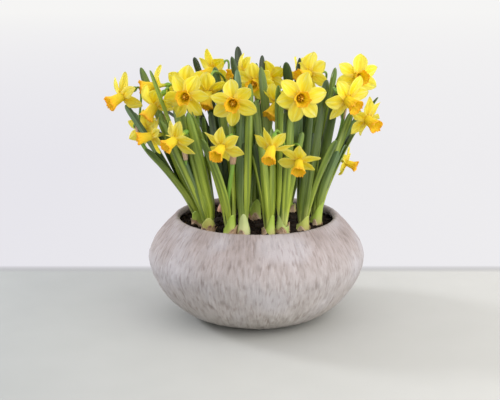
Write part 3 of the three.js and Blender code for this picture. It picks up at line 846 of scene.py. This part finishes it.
def tube_look():
    """Behind the petals, from golden yellow through the green seed swelling to the stalk."""
    look = Look("flower_tube", 0.5, 0.35)
    painted = look.painted()
    clouds = look.lines(painted, (1, 6), 3, 2)
    colour = look.ramp(look.swayed(painted[0], clouds, 0.2), [
        (0.0, (0.92, 0.52, 0.03)),
        (0.3, (0.95, 0.74, 0.04)),
        (0.55, (0.6, 0.6, 0.05)),
        (0.72, (0.18, 0.36, 0.04)),
        (1.0, (0.15, 0.32, 0.045)),
    ])
    look.see_light_through(colour, 0.15)
    return look.finished(colour, clouds, 0.2, 0.0005)


def anther_look():
    look = Look("anther", 0.75, 0.2)
    dust = look.noise(look.place(), 1500, 3, 0.6)
    colour = look.ramp(dust, [(0.35, (0.8, 0.45, 0.04)), (0.65, (0.95, 0.75, 0.16))])
    return look.finished(colour, dust, 0.5, 0.0004)


def floor_look():
    """A pale table, painted darker to the left as shade, with a glowing white room behind its far edge."""
    look = Look("pale_floor", 0.75, 0.2)
    x, y, _ = look.split(look.place())
    # Painted shade: the table is darker to the left and lighter to the right, as the light falls across
    # it.
    table = look.ramp(look.plus(look.times(x, 1.6), 0.5, clamp=True), [
        (0.0, (0.333, 0.345, 0.337)),
        (0.45, (0.422, 0.425, 0.405)),
        (1.0, (0.482, 0.482, 0.457)),
    ])
    clouds = look.noise(look.place(), 14, 2)
    mottling = look.ramp(clouds, [(0.3, (0.3, 0.31, 0.3)), (0.7, (0.52, 0.52, 0.52))])
    beyond = look.times(look.plus(y, -TABLE_FAR_EDGE), 30, clamp=True)
    look.coloured(look.mix(beyond, look.mix(0.06, table, mottling), (0.0, 0.0, 0.0)))
    # The white room is a glow on the floor, painted a little darker and cooler to the left as shade, and
    # paler far back.
    sideways = look.plus(look.times(x, 0.5), 0.5, clamp=True)
    low_room = look.ramp(sideways, [(0.3, (0.8, 0.79, 0.835)), (0.7, (0.85, 0.84, 0.86))])
    far = look.times(look.plus(y, -1.0), 0.2, clamp=True)
    room = look.mix(far, low_room, (0.92, 0.915, 0.905))
    look.blended(beyond, look.node("ShaderNodeEmission", {"Color": room}).outputs[0])
    return look.material


# The bowl

def side_outline(inset, bottom, low_rows, high_rows):
    """The bowl's side from its foot up to its lip, moved into the wall by the inset."""
    foot = FOOT_RADIUS - inset / 2
    belly = BELLY_RADIUS - inset
    outward = np.array([math.cos(LIP_TURN), math.sin(LIP_TURN)])
    inward = np.array([-outward[1], outward[0]])
    lip = np.array([OPENING_RADIUS + LIP_RADIUS, BOWL_HEIGHT - LIP_RADIUS])
    lip = lip + outward * (LIP_RADIUS - inset)
    low = [
        (foot, bottom),
        (foot + FOOT_PULL, bottom + FOOT_LIFT),
        (belly, BELLY_HEIGHT - BELLY_PULL_DOWN),
        (belly, BELLY_HEIGHT),
    ]
    high = [
        (belly, BELLY_HEIGHT),
        (belly, BELLY_HEIGHT + BELLY_PULL_UP),
        lip - inward * SHOULDER_PULL,
        lip,
    ]
    upper = bezier(high, np.linspace(0, 1, high_rows))
    return np.vstack([bezier(low, np.linspace(0, 1, low_rows)), upper[1:]])


def lip_outline(count):
    turns = LIP_TURN + np.linspace(0, math.pi, count)[1:-1]
    radius = OPENING_RADIUS + LIP_RADIUS + LIP_RADIUS * np.cos(turns)
    height = BOWL_HEIGHT - LIP_RADIUS + LIP_RADIUS * np.sin(turns)
    return np.stack([radius, height], 1)


def bowl_outline():
    """The bowl's outline from the middle of its foot, over the lip, to the middle of its floor."""
    outside = at_shares(side_outline(0, 0, *FINE_ROWS), np.linspace(0, 1, BOWL_ROWS))
    inside = side_outline(WALL, FLOOR, *INSIDE_ROWS)[::-1]
    foot = [(0.01, 0), (FOOT_RADIUS * 0.6, 0)]
    return np.vstack([foot, outside, lip_outline(LIP_ROWS), inside, [(0.01, FLOOR)]])


def stroke_relief(radii, travelled, outside_rows):
    """How far the combed strokes raise or lower each point of the bowl."""
    draw = np.random.default_rng(STROKE_SEED)
    relief = np.zeros((len(radii), BOWL_COLUMNS))
    turn_step = 2 * math.pi / BOWL_COLUMNS
    end = travelled[outside_rows - 1] + COMBED_LIP
    for _ in range(STROKES):
        turn = draw.uniform(0, 2 * math.pi)
        middle = draw.uniform(travelled[FOOT_ROWS], end)
        course = (math.floor(middle / COURSE) + 0.5) * COURSE + COURSE_WAVE * math.sin(turn * 3)
        middle = middle + (course - middle) * draw.choice([0, COURSE_PULL])
        length = draw.uniform(*STROKE_LENGTHS)
        width = draw.uniform(*STROKE_WIDTHS)
        depth = draw.choice([-1, 1], p=[CUT_SHARE, 1 - CUT_SHARE]) * draw.uniform(*STROKE_DEPTHS)
        slant = draw.normal(0, STROKE_SLANT)
        low, high = np.searchsorted(travelled, [middle - length, middle + length])
        rows = np.arange(low, min(high, outside_rows + COMBED_LIP_ROWS))
        if not len(rows):
            continue
        reach = (3 * width + abs(slant) * length) / max(radii[rows].min(), 20) / turn_step
        columns = np.arange(int(turn / turn_step - reach), int(turn / turn_step + reach) + 2)
        along = travelled[rows][:, None] - middle
        aside = (columns[None] * turn_step - turn) * radii[rows][:, None] - slant * along
        fade = np.clip(1 - (along / length) ** 2, 0, 1)
        relief[np.ix_(rows, columns % BOWL_COLUMNS)] += depth * fade * np.exp(-(aside / width) ** 2)
    return np.clip(relief, DEEPEST, HIGHEST)


def make_bowl(material):
    outline = bowl_outline()
    outside_rows = FOOT_ROWS + BOWL_ROWS
    travelled = travelled_along(outline)
    relief = stroke_relief(outline[:, 0], travelled, outside_rows)
    turns = around(BOWL_COLUMNS)
    points = turned_points(outline[:, :1], turns, outline[:, 1:])
    slope = np.gradient(outline, axis=0)
    outward = unit(np.stack([slope[:, 1], -slope[:, 0]], 1))
    normal = turned_points(outward[:, :1], turns, outward[:, 1:])
    on_side = eased((travelled - travelled[FOOT_ROWS]) / FADE_AT_FOOT)
    on_side = on_side * eased((travelled[outside_rows + FADED_LIP_ROWS] - travelled) / FADE_AT_LIP)
    uneven = ripples(points, BOWL_RIPPLES, BOWL_SEED) - SET_BACK
    points = points + normal * ((relief + uneven) * on_side[:, None])[..., None]
    patch = eased(ripple(points, PATCH_WAVE, PATCH_SEED) * 0.8 + 0.25) * on_side[:, None]
    bowl = Gathered()
    bowl.body(points, (relief * 0.8 + 0.5, outline[:, 1:] / BOWL_HEIGHT, patch))
    piece = bowl.made("planter_bowl_cement", [material], ["planter_bowl"])
    store(piece.data, "meridian", turned_points(BELLY_RADIUS, turns, travelled[:, None]) * MM)


# The soil

def soil_edge_radius(inset):
    wall = side_outline(inset, FLOOR + GAP, *FINE_ROWS)
    upper = wall[wall[:, 1] > BELLY_HEIGHT]
    return float(np.interp(SOIL_EDGE_HEIGHT, upper[:, 1], upper[:, 0]))


def soil_height(x, y):
    share = np.clip(np.hypot(x, y) / soil_edge_radius(WALL), 0, 1)
    level = np.interp(share, [0, 0.5, 1], [SOIL_MIDDLE_HEIGHT, SOIL_HALFWAY_HEIGHT, SOIL_EDGE_HEIGHT])
    return level + ripples(np.stack([x, y, np.zeros_like(x)], -1), SOIL_RIPPLES, SOIL_SEED)


def make_soil(material):
    edge = soil_edge_radius(WALL + GAP)
    turns = around(SOIL_COLUMNS)
    radii = np.linspace(0.05, 1, SOIL_ROWS)[:, None] ** 0.8 * edge
    top = turned_points(radii, turns, 0.0)
    top[..., 2] = soil_height(top[..., 0], top[..., 1])
    wall = side_outline(WALL + GAP, FLOOR + GAP, *SOIL_SIDE_ROWS)
    wall = wall[wall[:, 1] < SOIL_EDGE_HEIGHT - 3][::-1]
    side = turned_points(wall[:, :1], turns, wall[:, 1:])
    soil = Gathered()
    soil.body(np.concatenate([top, side]), PLAIN, turned=True)
    soil.made("potting_soil_mound", [material], ["potting_soil"])


def make_crumbs(material):
    draw = np.random.default_rng(CRUMB_SEED)
    tilts = np.linspace(CRUMB_FIRST_TILT, math.pi - CRUMB_FIRST_TILT, CRUMB_ROWS)[:, None]
    ball = turned_points(np.sin(tilts), around(CRUMB_COLUMNS), np.cos(tilts))
    crumbs = Gathered()
    edge = soil_edge_radius(WALL) - 3
    for _ in range(CRUMBS):
        radius = edge * math.sqrt(draw.uniform(0, 1))
        turn = draw.uniform(0, 2 * math.pi)
        x, y = radius * math.cos(turn), radius * math.sin(turn)
        size = draw.uniform(*CRUMB_SIZES) ** 1.15
        stretch = draw.uniform(0.6, 1.5, 3)
        lump = ball * (1 + draw.normal(0, 0.16, ball.shape[:2]))[..., None] * stretch * size
        lump = spun(lump, draw.uniform(0, 2 * math.pi))
        height = float(soil_height(np.array(x), np.array(y)))
        crumbs.body(lump + (x, y, height + size * 0.3), PLAIN, turned=True)
    crumbs.made("potting_soil_crumbs", [material])


# The bulbs

def bulb_nose(shoot, index, bulb):
    """One nose of a bulb, with dry skins that come loose around its neck."""
    draw = np.random.default_rng(BULB_SEED + index)
    outline = [(0.4, 0), (ROOT_PLATE_RADIUS, 0.5), *BULB_RINGS, (NECK_RADIUS, BULB_LENGTH)]
    outline = through([*outline, (NECK_RADIUS * 0.4, BULB_LENGTH + 0.2)], BULB_ROWS)
    turns = around(BULB_COLUMNS)
    ridges = 1 + 0.035 * wave(turns * 9, draw) + 0.02 * np.sin(turns * 17)
    points = turned_points(outline[:, :1] * ridges, turns, outline[:, 1:])
    points = points + (*shoot["foot"], shoot["neck"] - BULB_LENGTH)
    up = np.clip(outline[:, 1:] / BULB_LENGTH, 0, 1)
    bulb.body(points, (up, way_round(BULB_COLUMNS), draw.uniform(0, 9)))
    for _ in range(LOOSE_SKINS):
        loose_skin(shoot, draw, bulb)


def loose_skin(shoot, draw, bulb):
    """A dry pointed skin that stands up around the neck, its tip curling outwards."""
    turn = draw.uniform(0, 2 * math.pi)
    length = draw.uniform(*SKIN_LENGTHS)
    spread = draw.uniform(0.4, 0.9)
    curl = draw.uniform(0.5, 4)
    along = along_rows(SKIN_ROWS)
    aside = over_columns(SKIN_COLUMNS)
    angle = turn + aside * spread * (1 - along ** 1.6 * 0.9)
    height = draw.uniform(-10, -5) + length * along
    base = np.interp(height, [-12, -8, 0, 8], [9.9, 9.2, NECK_RADIUS + 1.3, NECK_RADIUS + 2.2])
    radius = base + curl * along ** 3 + 0.4 * np.sin(aside * 5 + turn)
    points = turned_points(radius, angle, height) + (*shoot["foot"], shoot["neck"])
    bulb.sheet(points, 0.35, (along, aside, draw.uniform(0, 1)), material=1)


def make_bulbs(materials):
    for number in range(1, SHOOTS[-1]["bulb"] + 1):
        bulb = Gathered()
        for index, shoot in enumerate(SHOOTS):
            if shoot["bulb"] == number:
                bulb_nose(shoot, index, bulb)
        node = f"bulb_{number:02d}"
        bulb.made(f"{node}_skins", materials, [node])


# The shoots

def sheath_curve(shoot):
    base = np.array([*shoot["foot"], shoot["neck"] + GAP], float)
    lean = unit([*shoot["lean"], 1])
    knee = base + UP * SHEATH_LENGTH / 2
    return [base, knee, knee + lean * SHEATH_LENGTH / 2]


def make_sheath(shoot, draw, leaves):
    """A thin skin round the foot of the shoot, from below the bulb's neck to an uneven top edge."""
    turns = around(SHEATH_COLUMNS)
    top = draw.uniform(0.5, 1.0) * SHEATH_LENGTH
    tongue = (0.5 + 0.5 * np.cos(turns + draw.uniform(0.6, 2.6))) ** 4
    notch = 0.08 + 0.92 * tongue + 0.05 * wave(turns * 3, draw)
    share = along_rows(SHEATH_ROWS)
    height = -SHEATH_BELOW + (top * notch[None] + SHEATH_BELOW) * share
    curve = [bezier(sheath_curve(shoot), column) for column in (height / SHEATH_LENGTH).clip(0).T]
    line = np.array(curve).transpose(1, 0, 2)
    line[..., 2] += height.clip(None, 0)
    full = shoot["sheath"]
    heights = [-SHEATH_BELOW, -6, 0, 8, SHEATH_LENGTH]
    radius = np.interp(height, heights, [9.3, 8.3, 7.7, full * 0.86, full - 0.2])
    radius = radius * (1 + 0.03 * np.sin(turns * 7))
    paint = (share, way_round(SHEATH_COLUMNS), shoot["tone"])
    leaves.sheet(line + turned_points(radius, turns, 0), 0.4, paint, material=1, wrap=True)


def triangles_of(node):
    """The frame's mesh for a node: welded points in millimetres and its triangles."""
    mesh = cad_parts[node].data
    points = np.empty(len(mesh.vertices) * 3)
    mesh.vertices.foreach_get("co", points)
    mesh.calc_loop_triangles()
    corners = np.empty(len(mesh.loop_triangles) * 3, int)
    mesh.loop_triangles.foreach_get("vertices", corners)
    welded, index = np.unique(np.round(points.reshape(-1, 3) / MM, 2), axis=0, return_inverse=True)
    return welded, index.ravel()[corners].reshape(-1, 3)


def parts_above(points, triangles, corner, direction):
    """The separate parts of a mesh that stand clear above a slanted plane."""
    above = (points - corner) @ direction > LEAF_CLEAR
    kept = triangles[above[triangles].all(axis=1)]
    group = np.arange(len(points))
    changed = True
    while changed:
        lowest = group[kept].min(axis=1)
        after = group.copy()
        np.minimum.at(after, kept.ravel(), np.repeat(lowest, 3))
        changed = bool((after != group).any())
        group = after
    return [kept[group[kept[:, 0]] == name] for name in np.unique(group[kept])]


def widest_cut(points, triangles, corner, direction):
    """The two points furthest apart where a plane crosses the edges of these triangles."""
    ends = np.concatenate([triangles[:, [0, 1]], triangles[:, [1, 2]], triangles[:, [2, 0]]])
    heights = (points - corner) @ direction
    low, high = heights[ends[:, 0]], heights[ends[:, 1]]
    crossing = (low < 0) != (high < 0)
    ends, low, high = ends[crossing], low[crossing], high[crossing]
    share = (low / (low - high))[:, None]
    crossed = points[ends[:, 0]] * (1 - share) + points[ends[:, 1]] * share
    apart = np.linalg.norm(crossed[:, None] - crossed[None], axis=-1)
    one, other = np.unravel_index(apart.argmax(), apart.shape)
    return crossed[one], crossed[other]


def smoothed(shares, values, places):
    """The values at other places, from one quadratic curve through them all."""
    fit = np.polyfit(shares, values, 2)
    return fit[0] * places ** 2 + fit[1] * places + fit[2]


def leaf_guide(points, leaf, lean):
    """The middle line and the width of one leaf, measured on the frame from foot to tip."""
    own = points[np.unique(leaf)]
    own = own[np.argsort(own @ lean)]
    low, high = own[:END_CORNERS].mean(0), own[-END_CORNERS:].mean(0)
    shares = np.linspace(0.03, 0.985, LEAF_CUTS)
    middles, widths = [], []
    for share in shares:
        one, other = widest_cut(points, leaf, low + (high - low) * share, unit(high - low))
        across = other - one
        if widths and across @ widths[-1] < 0:
            across = -across
        middles.append((one + other) / 2)
        widths.append(across)
    places = np.linspace(-0.02, 1.01, GUIDE_POINTS)[:, None]
    return {
        "line": smoothed(shares, np.array(middles), places),
        "across": unit(smoothed(shares, unit(widths), places)),
        "width": np.linalg.norm(widths, axis=1).max(),
    }


def leaf_guides(node, shoot):
    """The guides of a shoot's leaves, in order round its sheath."""
    points, triangles = triangles_of(node)
    _, knee, top = sheath_curve(shoot)
    lean = unit(top - knee)
    parts = parts_above(points, triangles, top, lean)
    leaves = [part for part in parts if len(np.unique(part)) >= FEWEST_CORNERS]
    guides = [leaf_guide(points, leaf, lean) for leaf in leaves]
    return sorted(guides, key=lambda guide: math.atan2(*(guide["line"][0] - top)[[1, 0]]))


def leaf_foot(shoot, line):
    """Points that carry a leaf's line down through the sheath to the bulb's neck."""
    base, knee, top = sheath_curve(shoot)
    lean = unit(top - knee)
    outward = line[0] - top
    outward = unit(outward - lean * (outward @ lean))
    low = base - UP + outward * 2.6
    middle = bezier([base, knee, top], [0.5])[0] + outward * (shoot["sheath"] * 0.62)
    return np.array([low, middle]), outward


def grow_leaf(shoot, guide, draw, leaves, tone, length=1.0):
    """One strap leaf: shallow channel, full width most of its way, rounded tip."""
    foot, outward = leaf_foot(shoot, guide["line"])
    kept = max(5, round(len(guide["line"]) * length))
    share = 1 - (1 - along_rows(LEAF_ROWS)) ** 1.5
    line = at_shares(through(np.vstack([foot, guide["line"][:kept]]), LEAF_SMOOTHING), share.ravel())
    tangent = tangents(line)
    side = unit(np.cross(tangent[0], outward))
    across = guide["across"][:kept]
    if across[0] @ side < 0:
        across = -across
    across = through(np.vstack([side, side, across]), LEAF_SMOOTHING)
    across = across[np.round(share.ravel() * (LEAF_SMOOTHING - 1)).astype(int)]
    across = unit(across - tangent * (across * tangent).sum(1, keepdims=True))
    normal = np.cross(across, tangent)
    normal = normal * np.sign((normal[0] @ outward) or 1)
    tip_from = draw.uniform(*ROUNDED_FROM)
    rounded = np.sqrt(np.clip(1 - ((share - tip_from) / (1 - tip_from)).clip(0) ** 2.4, 0.004, 1))
    narrowing = (0.55 + 0.45 * eased(share / 0.4)) * (1 - 0.16 * eased((share - 0.5) / 0.5))
    half = guide["width"] * LEAF_WIDENED / 2 * narrowing * rounded
    aside = over_columns(LEAF_COLUMNS)
    channel = half * (0.6 * (1 - eased(share / 0.22)) + draw.uniform(0.3, 0.75) * (1 - 0.5 * share))
    waved = draw.uniform(0.1, 0.5) * wave(share * draw.uniform(8, 16), draw) * aside * share
    depth = channel * (0.4 - np.abs(aside) ** 1.4) + waved
    points = beside(line, across, half * aside, normal, depth)
    thickness = (2.0 - 1.0 * share) * (1 - 0.62 * aside ** 2)
    leaves.sheet(points, thickness, (share * (0.75 + 0.25 * length), aside, tone))


def leaf_between(one, other, share):
    """A leaf guide that runs between two others."""
    flip = np.sign(one["across"][0] @ other["across"][0]) or 1
    return {
        "line": one["line"] * (1 - share) + other["line"] * share,
        "across": unit(one["across"] * (1 - share) + other["across"] * flip * share),
        "width": (one["width"] + other["width"]) / 2 * 0.95,
    }


def add_inner_leaves(shoot, guides, draw, leaves):
    """Shorter leaves that stand between a shoot's own ones."""
    for place, guide in enumerate(guides):
        neighbour = guides[(place + 1) % len(guides)]
        for share in INNER_SHARES[place % len(INNER_SHARES)]:
            inner = leaf_between(guide, neighbour, share + draw.normal(0, 0.06))
            # Painted shade: inner leaves get dark tones from 0.55 up, as shade between the shoot's own
            # leaves.
            grow_leaf(shoot, inner, draw, leaves, draw.uniform(0.55, 1), draw.uniform(*INNER_LENGTHS))


def make_shoot(index, shoot, materials):
    """The leaves of a shoot with its sheath around them."""
    draw = np.random.default_rng(SHOOT_SEED + index)
    node = f"leaves_{index + 1:02d}"
    leaves = Gathered()
    guides = leaf_guides(node, shoot)
    at_back = shoot["foot"][1] > BACK_FROM
    # Painted shade: back shoots get darker tones, and leaves with their tips further back keep more of
    # their tone.
    darker = BACK_PAINTED_SHADE if at_back else 0
    for guide in guides:
        shade_by_tip = np.interp(guide["line"][-1][1], FRONT_LIT_TIPS, [0.35, 1])
        grow_leaf(shoot, guide, draw, leaves, draw.uniform(darker, 0.8 + darker / 2) * shade_by_tip)
    if not at_back:
        add_inner_leaves(shoot, guides, draw, leaves)
    make_sheath(shoot, draw, leaves)
    leaves.made(f"{node}_straps", materials, [node])


# The flowers

def flower_axes(flower):
    side = math.radians(flower["turn"])
    down = math.radians(flower["dip"])
    level = np.array([math.sin(side), -math.cos(side), 0])
    facing = level * math.cos(down) - UP * math.sin(down)
    right = unit(np.cross(UP, facing))
    return facing, right, np.cross(facing, right)


def to_place(points, flower):
    """Moves points from the flower's own frame, in which it faces +Z, to its place."""
    facing, right, crown = flower_axes(flower)
    roll = math.radians(flower["roll"])
    x_axis = right * math.cos(roll) + crown * math.sin(roll)
    y_axis = crown * math.cos(roll) - right * math.sin(roll)
    turned = points[..., :1] * x_axis + points[..., 1:2] * y_axis + points[..., 2:] * facing
    return turned * flower["size"] + np.array(flower["at"], float)


def petal_outline(share, draw, slim):
    """The half width of a petal along its length."""
    widest = draw.uniform(0.4, 0.54)
    roundness = draw.uniform(1.6, 2.5) * slim ** 2
    rising = 0.64 + 0.36 * eased(share / widest)
    past = ((share - widest) / (1 - widest)).clip(0)
    falling = (1 - past ** roundness).clip(0) ** draw.uniform(0.72, 0.95)
    return slim * rising * falling + 0.012


def petal_points(flower, draw, outer, share, aside):
    """One petal, its foot at the middle of the flower and its tip along +X."""
    step = (PETAL_REACH - PETAL_ROOT) * draw.uniform(0.9, 1.06) / (PETAL_ROWS - 1)
    angle = math.radians(flower["swept"]) + draw.normal(0, 0.09) + draw.normal(0.05, 0.42) * (share - 0.35)
    out = PETAL_ROOT + (np.cumsum(np.cos(angle), axis=0) - np.cos(angle[:1])) * step
    back = (np.cumsum(np.sin(angle), axis=0) - np.sin(angle[:1])) * step
    half = PETAL_HALF_WIDTH * petal_outline(share, draw, flower["slim"])
    half = half * (OUTER_WIDER if outer else INNER_NARROWER) * draw.uniform(0.9, 1.07)
    twist = draw.normal(0, 0.34) * share
    cup = draw.normal(0.16, 0.2)
    crease = 1.1 * np.exp(-(aside / 0.17) ** 2) * (1 - share) ** 0.6
    folds = 0.28 * wave(aside * draw.uniform(8, 11), draw) * np.sin(share * math.pi)
    waves = 0.9 * aside ** 2 * wave(share * draw.uniform(5, 10) + aside * 1.4, draw) * share
    lift = cup * half * (aside ** 2 - 0.3) - crease + folds + waves
    y = half * aside * np.cos(twist) - lift * np.sin(twist) + draw.normal(0, 1.5) * share ** 2
    z = half * aside * np.sin(twist) + lift * np.cos(twist) - back - (OUTER_BEHIND if outer else 0)
    return np.stack([out + lift * np.sin(angle), y, z], -1)


def add_petals(flower, draw, piece):
    """Three inner petals in front of three broader outer ones, each curled its own way."""
    share = along_rows(PETAL_ROWS)
    aside = over_columns(PETAL_COLUMNS)
    thickness = 0.4 * (1 - 0.4 * aside ** 2) + 0.1 * (1 - share)
    for number in range(PETALS):
        points = petal_points(flower, draw, number % 2 == 1, share, aside)
        points = spun(points, 2 * math.pi * number / PETALS + draw.normal(0, 0.07))
        piece.sheet(to_place(points, flower), thickness, (share, aside, draw.uniform(0, 1)))


def add_trumpet(flower, draw, piece):
    """The frilled trumpet in front of the petals, its mouth waved and notched."""
    share = along_rows(TRUMPET_ROWS)
    turns = around(TRUMPET_COLUMNS)
    lobes = wave(turns * 6, draw) + 0.5 * wave(turns * 4, draw)
    teeth = 0.6 * wave(turns * 15 + lobes, draw) + 0.5 * wave(turns * 19, draw)
    flare = eased((share - 0.55) / 0.45)
    radius = TRUMPET_FOOT + (TRUMPET_RADIUS - TRUMPET_FOOT) * np.sin(share * math.pi / 2) ** 0.8
    radius = radius + 0.25 * wave(turns * 12, draw) * share
    radius = radius + flare * (2.2 + (0.7 * lobes + 0.55 * teeth) * share ** 3)
    height = TRUMPET_LENGTH * draw.uniform(0.9, 1.04) * share
    uneven = wave(turns * 3, draw) + 0.6 * wave(turns * 6, draw)
    height = height + flare * share ** 2 * (0.7 * uneven + 0.7 * teeth)
    points = to_place(turned_points(radius, turns, height), flower)
    paint = (share, way_round(TRUMPET_COLUMNS), draw.uniform(0, 9))
    piece.sheet(points, 0.45, paint, material=1, wrap=True)


def add_tube(flower, draw, piece):
    """The throat, the tube behind it and the green seed swelling."""
    outline = through([
        (0.1, -5.5), (2.4, -4.5), (4.3, -1.5), (5.0, 0.5), (5.2, -0.3), (4.1, -4.5), (2.9, -9), (2.3, -13),
        (2.6, -15), (3.3, -17.5), (3.0, -20), (1.6, -TUBE_LENGTH), (0.1, -TUBE_LENGTH - 0.1),
    ], TUBE_ROWS)
    points = to_place(turned_points(outline[:, :1], around(TUBE_SIDES), outline[:, 1:]), flower)
    back = along_rows(TUBE_ROWS)
    piece.body(points, (back, way_round(TUBE_SIDES), draw.uniform(0, 9)), material=2, turned=True)


def add_thread(corners, radii, sides, flower, piece):
    """A thin thread that ends in an anther or in the tip of the style."""
    rings = tube_rings(through(corners, len(radii)), radii, sides, np.array([1.0, 0, 0]))
    piece.body(to_place(rings, flower), PLAIN, material=3)


def add_stamens(flower, draw, piece):
    """Six anthers on thin threads around the longer style, deep in the trumpet."""
    for number in range(ANTHERS):
        turn = 2 * math.pi * number / ANTHERS + 0.4
        low = turned_points(2.3, turn, -3.5)
        middle = turned_points(2.3 * 1.05, turn, 2)
        tip = turned_points(2.3 * 1.1, turn, draw.uniform(10, 11.5))
        add_thread([low, middle, tip], THREAD_RADII, THREAD_SIDES, flower, piece)
    style = [(0, 0, -4), (0.2, 0.1, 5), (0.3, 0.2, 14)]
    add_thread(style, STYLE_RADII, STYLE_SIDES, flower, piece)


def make_flower(index, flower, materials):
    draw = np.random.default_rng(FLOWER_SEED + index)
    piece = Gathered()
    for add_part in (add_petals, add_trumpet, add_tube, add_stamens):
        add_part(flower, draw, piece)
    node = f"flower_{index + 1:02d}"
    piece.made(f"{node}_bloom", materials, [node])


# The stems

def stalk_end(flower):
    facing, right, _ = flower_axes(flower)
    end = np.array(flower["at"], float) - facing * (TUBE_LENGTH * flower["size"] + GAP)
    return end, facing, right


def fork_point(stem):
    """Where a stem forks, below and behind its flowers."""
    forks = []
    for number in stem["flowers"]:
        end, facing, _ = stalk_end(FLOWERS[number - 1])
        level = unit([facing[0], facing[1], 0])
        forks.append(end - level * FORK_BEHIND - UP * FORK_DROP)
    return np.mean(forks, axis=0) + np.array(stem["fork"], float)


def stem_line(stem, fork):
    base, knee, top = sheath_curve(SHOOTS[stem["shoot"] - 1])
    lean = unit(top - knee)
    aside = np.array([*stem["stand"], 0], float)
    aside = aside - lean * (aside @ lean)
    stand = top + lean * GAP * 2 + aside
    rise = np.linalg.norm(fork - stand)
    corners = [stand, stand + lean * rise * 0.4, fork - UP * rise * 0.3, fork]
    above = bezier(corners, np.linspace(0, 1, STEM_ROWS))
    below = through([base + aside * 0.4, knee + aside * 0.8, stand], STEM_FOOT_ROWS)[:-1]
    return np.vstack([below, above]), stand


def add_spathe(fork, stand, draw, piece):
    """The dry skin at the fork, wrapped halfway round it and drawn out to a point."""
    lean = unit([fork[0] - stand[0], fork[1] - stand[1], 0])
    tip = fork + (UP + lean * 0.4) * SPATHE_LENGTH
    share = along_rows(SPATHE_ROWS)
    line = bezier([fork - UP * SPATHE_LENGTH * 0.5, fork + UP * 7, tip], share.ravel())
    tangent = tangents(line)
    side = unit(np.cross(tangent, lean))
    front = np.cross(side, tangent)
    aside = over_columns(SPATHE_COLUMNS)
    radius = 3.1 + 1.6 * np.sin(share * math.pi) - 2.2 * share ** 2
    angle = aside * 1.9 * (1 - share ** 1.7 * 0.93)
    points = beside(line, front, radius * np.cos(angle) - 1.2, side, radius * np.sin(angle))
    piece.sheet(points, 0.3, (share, aside, draw.uniform(0, 1)), material=1)


def make_stem(index, stem, materials):
    """A stem up to its fork, with a stalk from there to each of its flowers."""
    draw = np.random.default_rng(STEM_SEED + index)
    fork = fork_point(stem)
    line, stand = stem_line(stem, fork)
    share = along_rows(len(line))
    radii = STEM_RADIUS + (FORK_RADIUS - STEM_RADIUS) * share.ravel()
    rings = tube_rings(line, radii, STEM_SIDES, np.array([1.0, 0, 0]), STEM_FLATNESS)
    tone = draw.uniform(0, 9)
    piece = Gathered()
    piece.body(rings, (share, way_round(STEM_SIDES), tone))
    for number in stem["flowers"]:
        end, facing, right = stalk_end(FLOWERS[number - 1])
        corners = [fork - UP * STALK_SUNK, fork + UP * STALK_RISE, end - facing * STALK_RUN, end + facing]
        stalk = bezier(corners, np.linspace(0, 1, STALK_ROWS))
        rings = tube_rings(stalk, STALK_RADIUS, STALK_SIDES, right)
        piece.body(rings, (1, way_round(STALK_SIDES), tone))
    add_spathe(fork, stand, draw, piece)
    node = f"stem_{index + 1:02d}"
    piece.made(f"{node}_green", materials, [node])


# The stage

def make_floor():
    mesh = bpy.data.meshes.new("floor")
    corners = [(x * TABLE_HALF, y * TABLE_HALF, 0) for x, y in ((-1, -1), (1, -1), (1, 1), (-1, 1))]
    mesh.from_pydata(corners, [], [(0, 1, 2, 3)])
    mesh.materials.append(floor_look())
    floor = added("floor", mesh)


def make_lamp(name, place, size, power, colour):
    data = bpy.data.lights.new(name, "AREA")
    data.shape = "DISK"
    data.size = size
    data.energy = power
    data.color = colour
    lamp = added(name, data)
    lamp.location = place
    aim = np.array(LAMP_AIM) - np.array(place)
    turn = math.atan2(aim[0], -aim[1])
    tilt = math.atan2(math.hypot(aim[0], aim[1]), -aim[2])
    lamp.rotation_euler = (tilt, 0, turn + math.pi)


def make_lights():
    """An even room, a low cool window from the left and a broad warm wall on the right."""
    world = bpy.data.worlds.new("room")
    world.use_nodes = True
    room = world.node_tree.nodes["Background"]
    room.inputs["Color"].default_value = (0.97, 0.96, 0.975, 1)
    room.inputs["Strength"].default_value = 1.13
    bpy.context.scene.world = world
    make_lamp("window", place=(-1.6, 0.57, 0.88), size=0.45, power=22, colour=(0.94, 0.95, 1.0))
    make_lamp("wall", place=(1.4, -1.2, 1.0), size=2.5, power=41, colour=(1.0, 0.97, 0.93))
    bpy.context.scene.view_settings.view_transform = "Standard"


def make_camera():
    data = bpy.data.cameras.new("camera")
    data.lens = CAMERA_LENS
    data.sensor_width = CAMERA_SENSOR
    data.clip_end = CAMERA_REACH
    camera = added("camera", data)
    back = np.array([0, -math.cos(CAMERA_RAISED), math.sin(CAMERA_RAISED)])
    camera.location = (np.array(CAMERA_AIM) + back * CAMERA_DISTANCE) * MM
    camera.rotation_euler = (math.pi / 2 - CAMERA_RAISED, 0, 0)
    bpy.context.scene.camera = camera


def make_all():
    make_bowl(bowl_look())
    peat = soil_look()
    make_soil(peat)
    make_crumbs(peat)
    paper = paper_look()
    make_bulbs([bulb_look(), paper])
    leaf_materials = [leaf_look(), sheath_look()]
    for index, shoot in enumerate(SHOOTS):
        make_shoot(index, shoot, leaf_materials)
    stem_materials = [stem_look(), paper]
    for index, stem in enumerate(STEMS):
        make_stem(index, stem, stem_materials)
    flower_materials = [petal_look(), trumpet_look(), tube_look(), anther_look()]
    for index, flower in enumerate(FLOWERS):
        make_flower(index, flower, flower_materials)
    make_floor()
    make_lights()
    make_camera()


make_all()
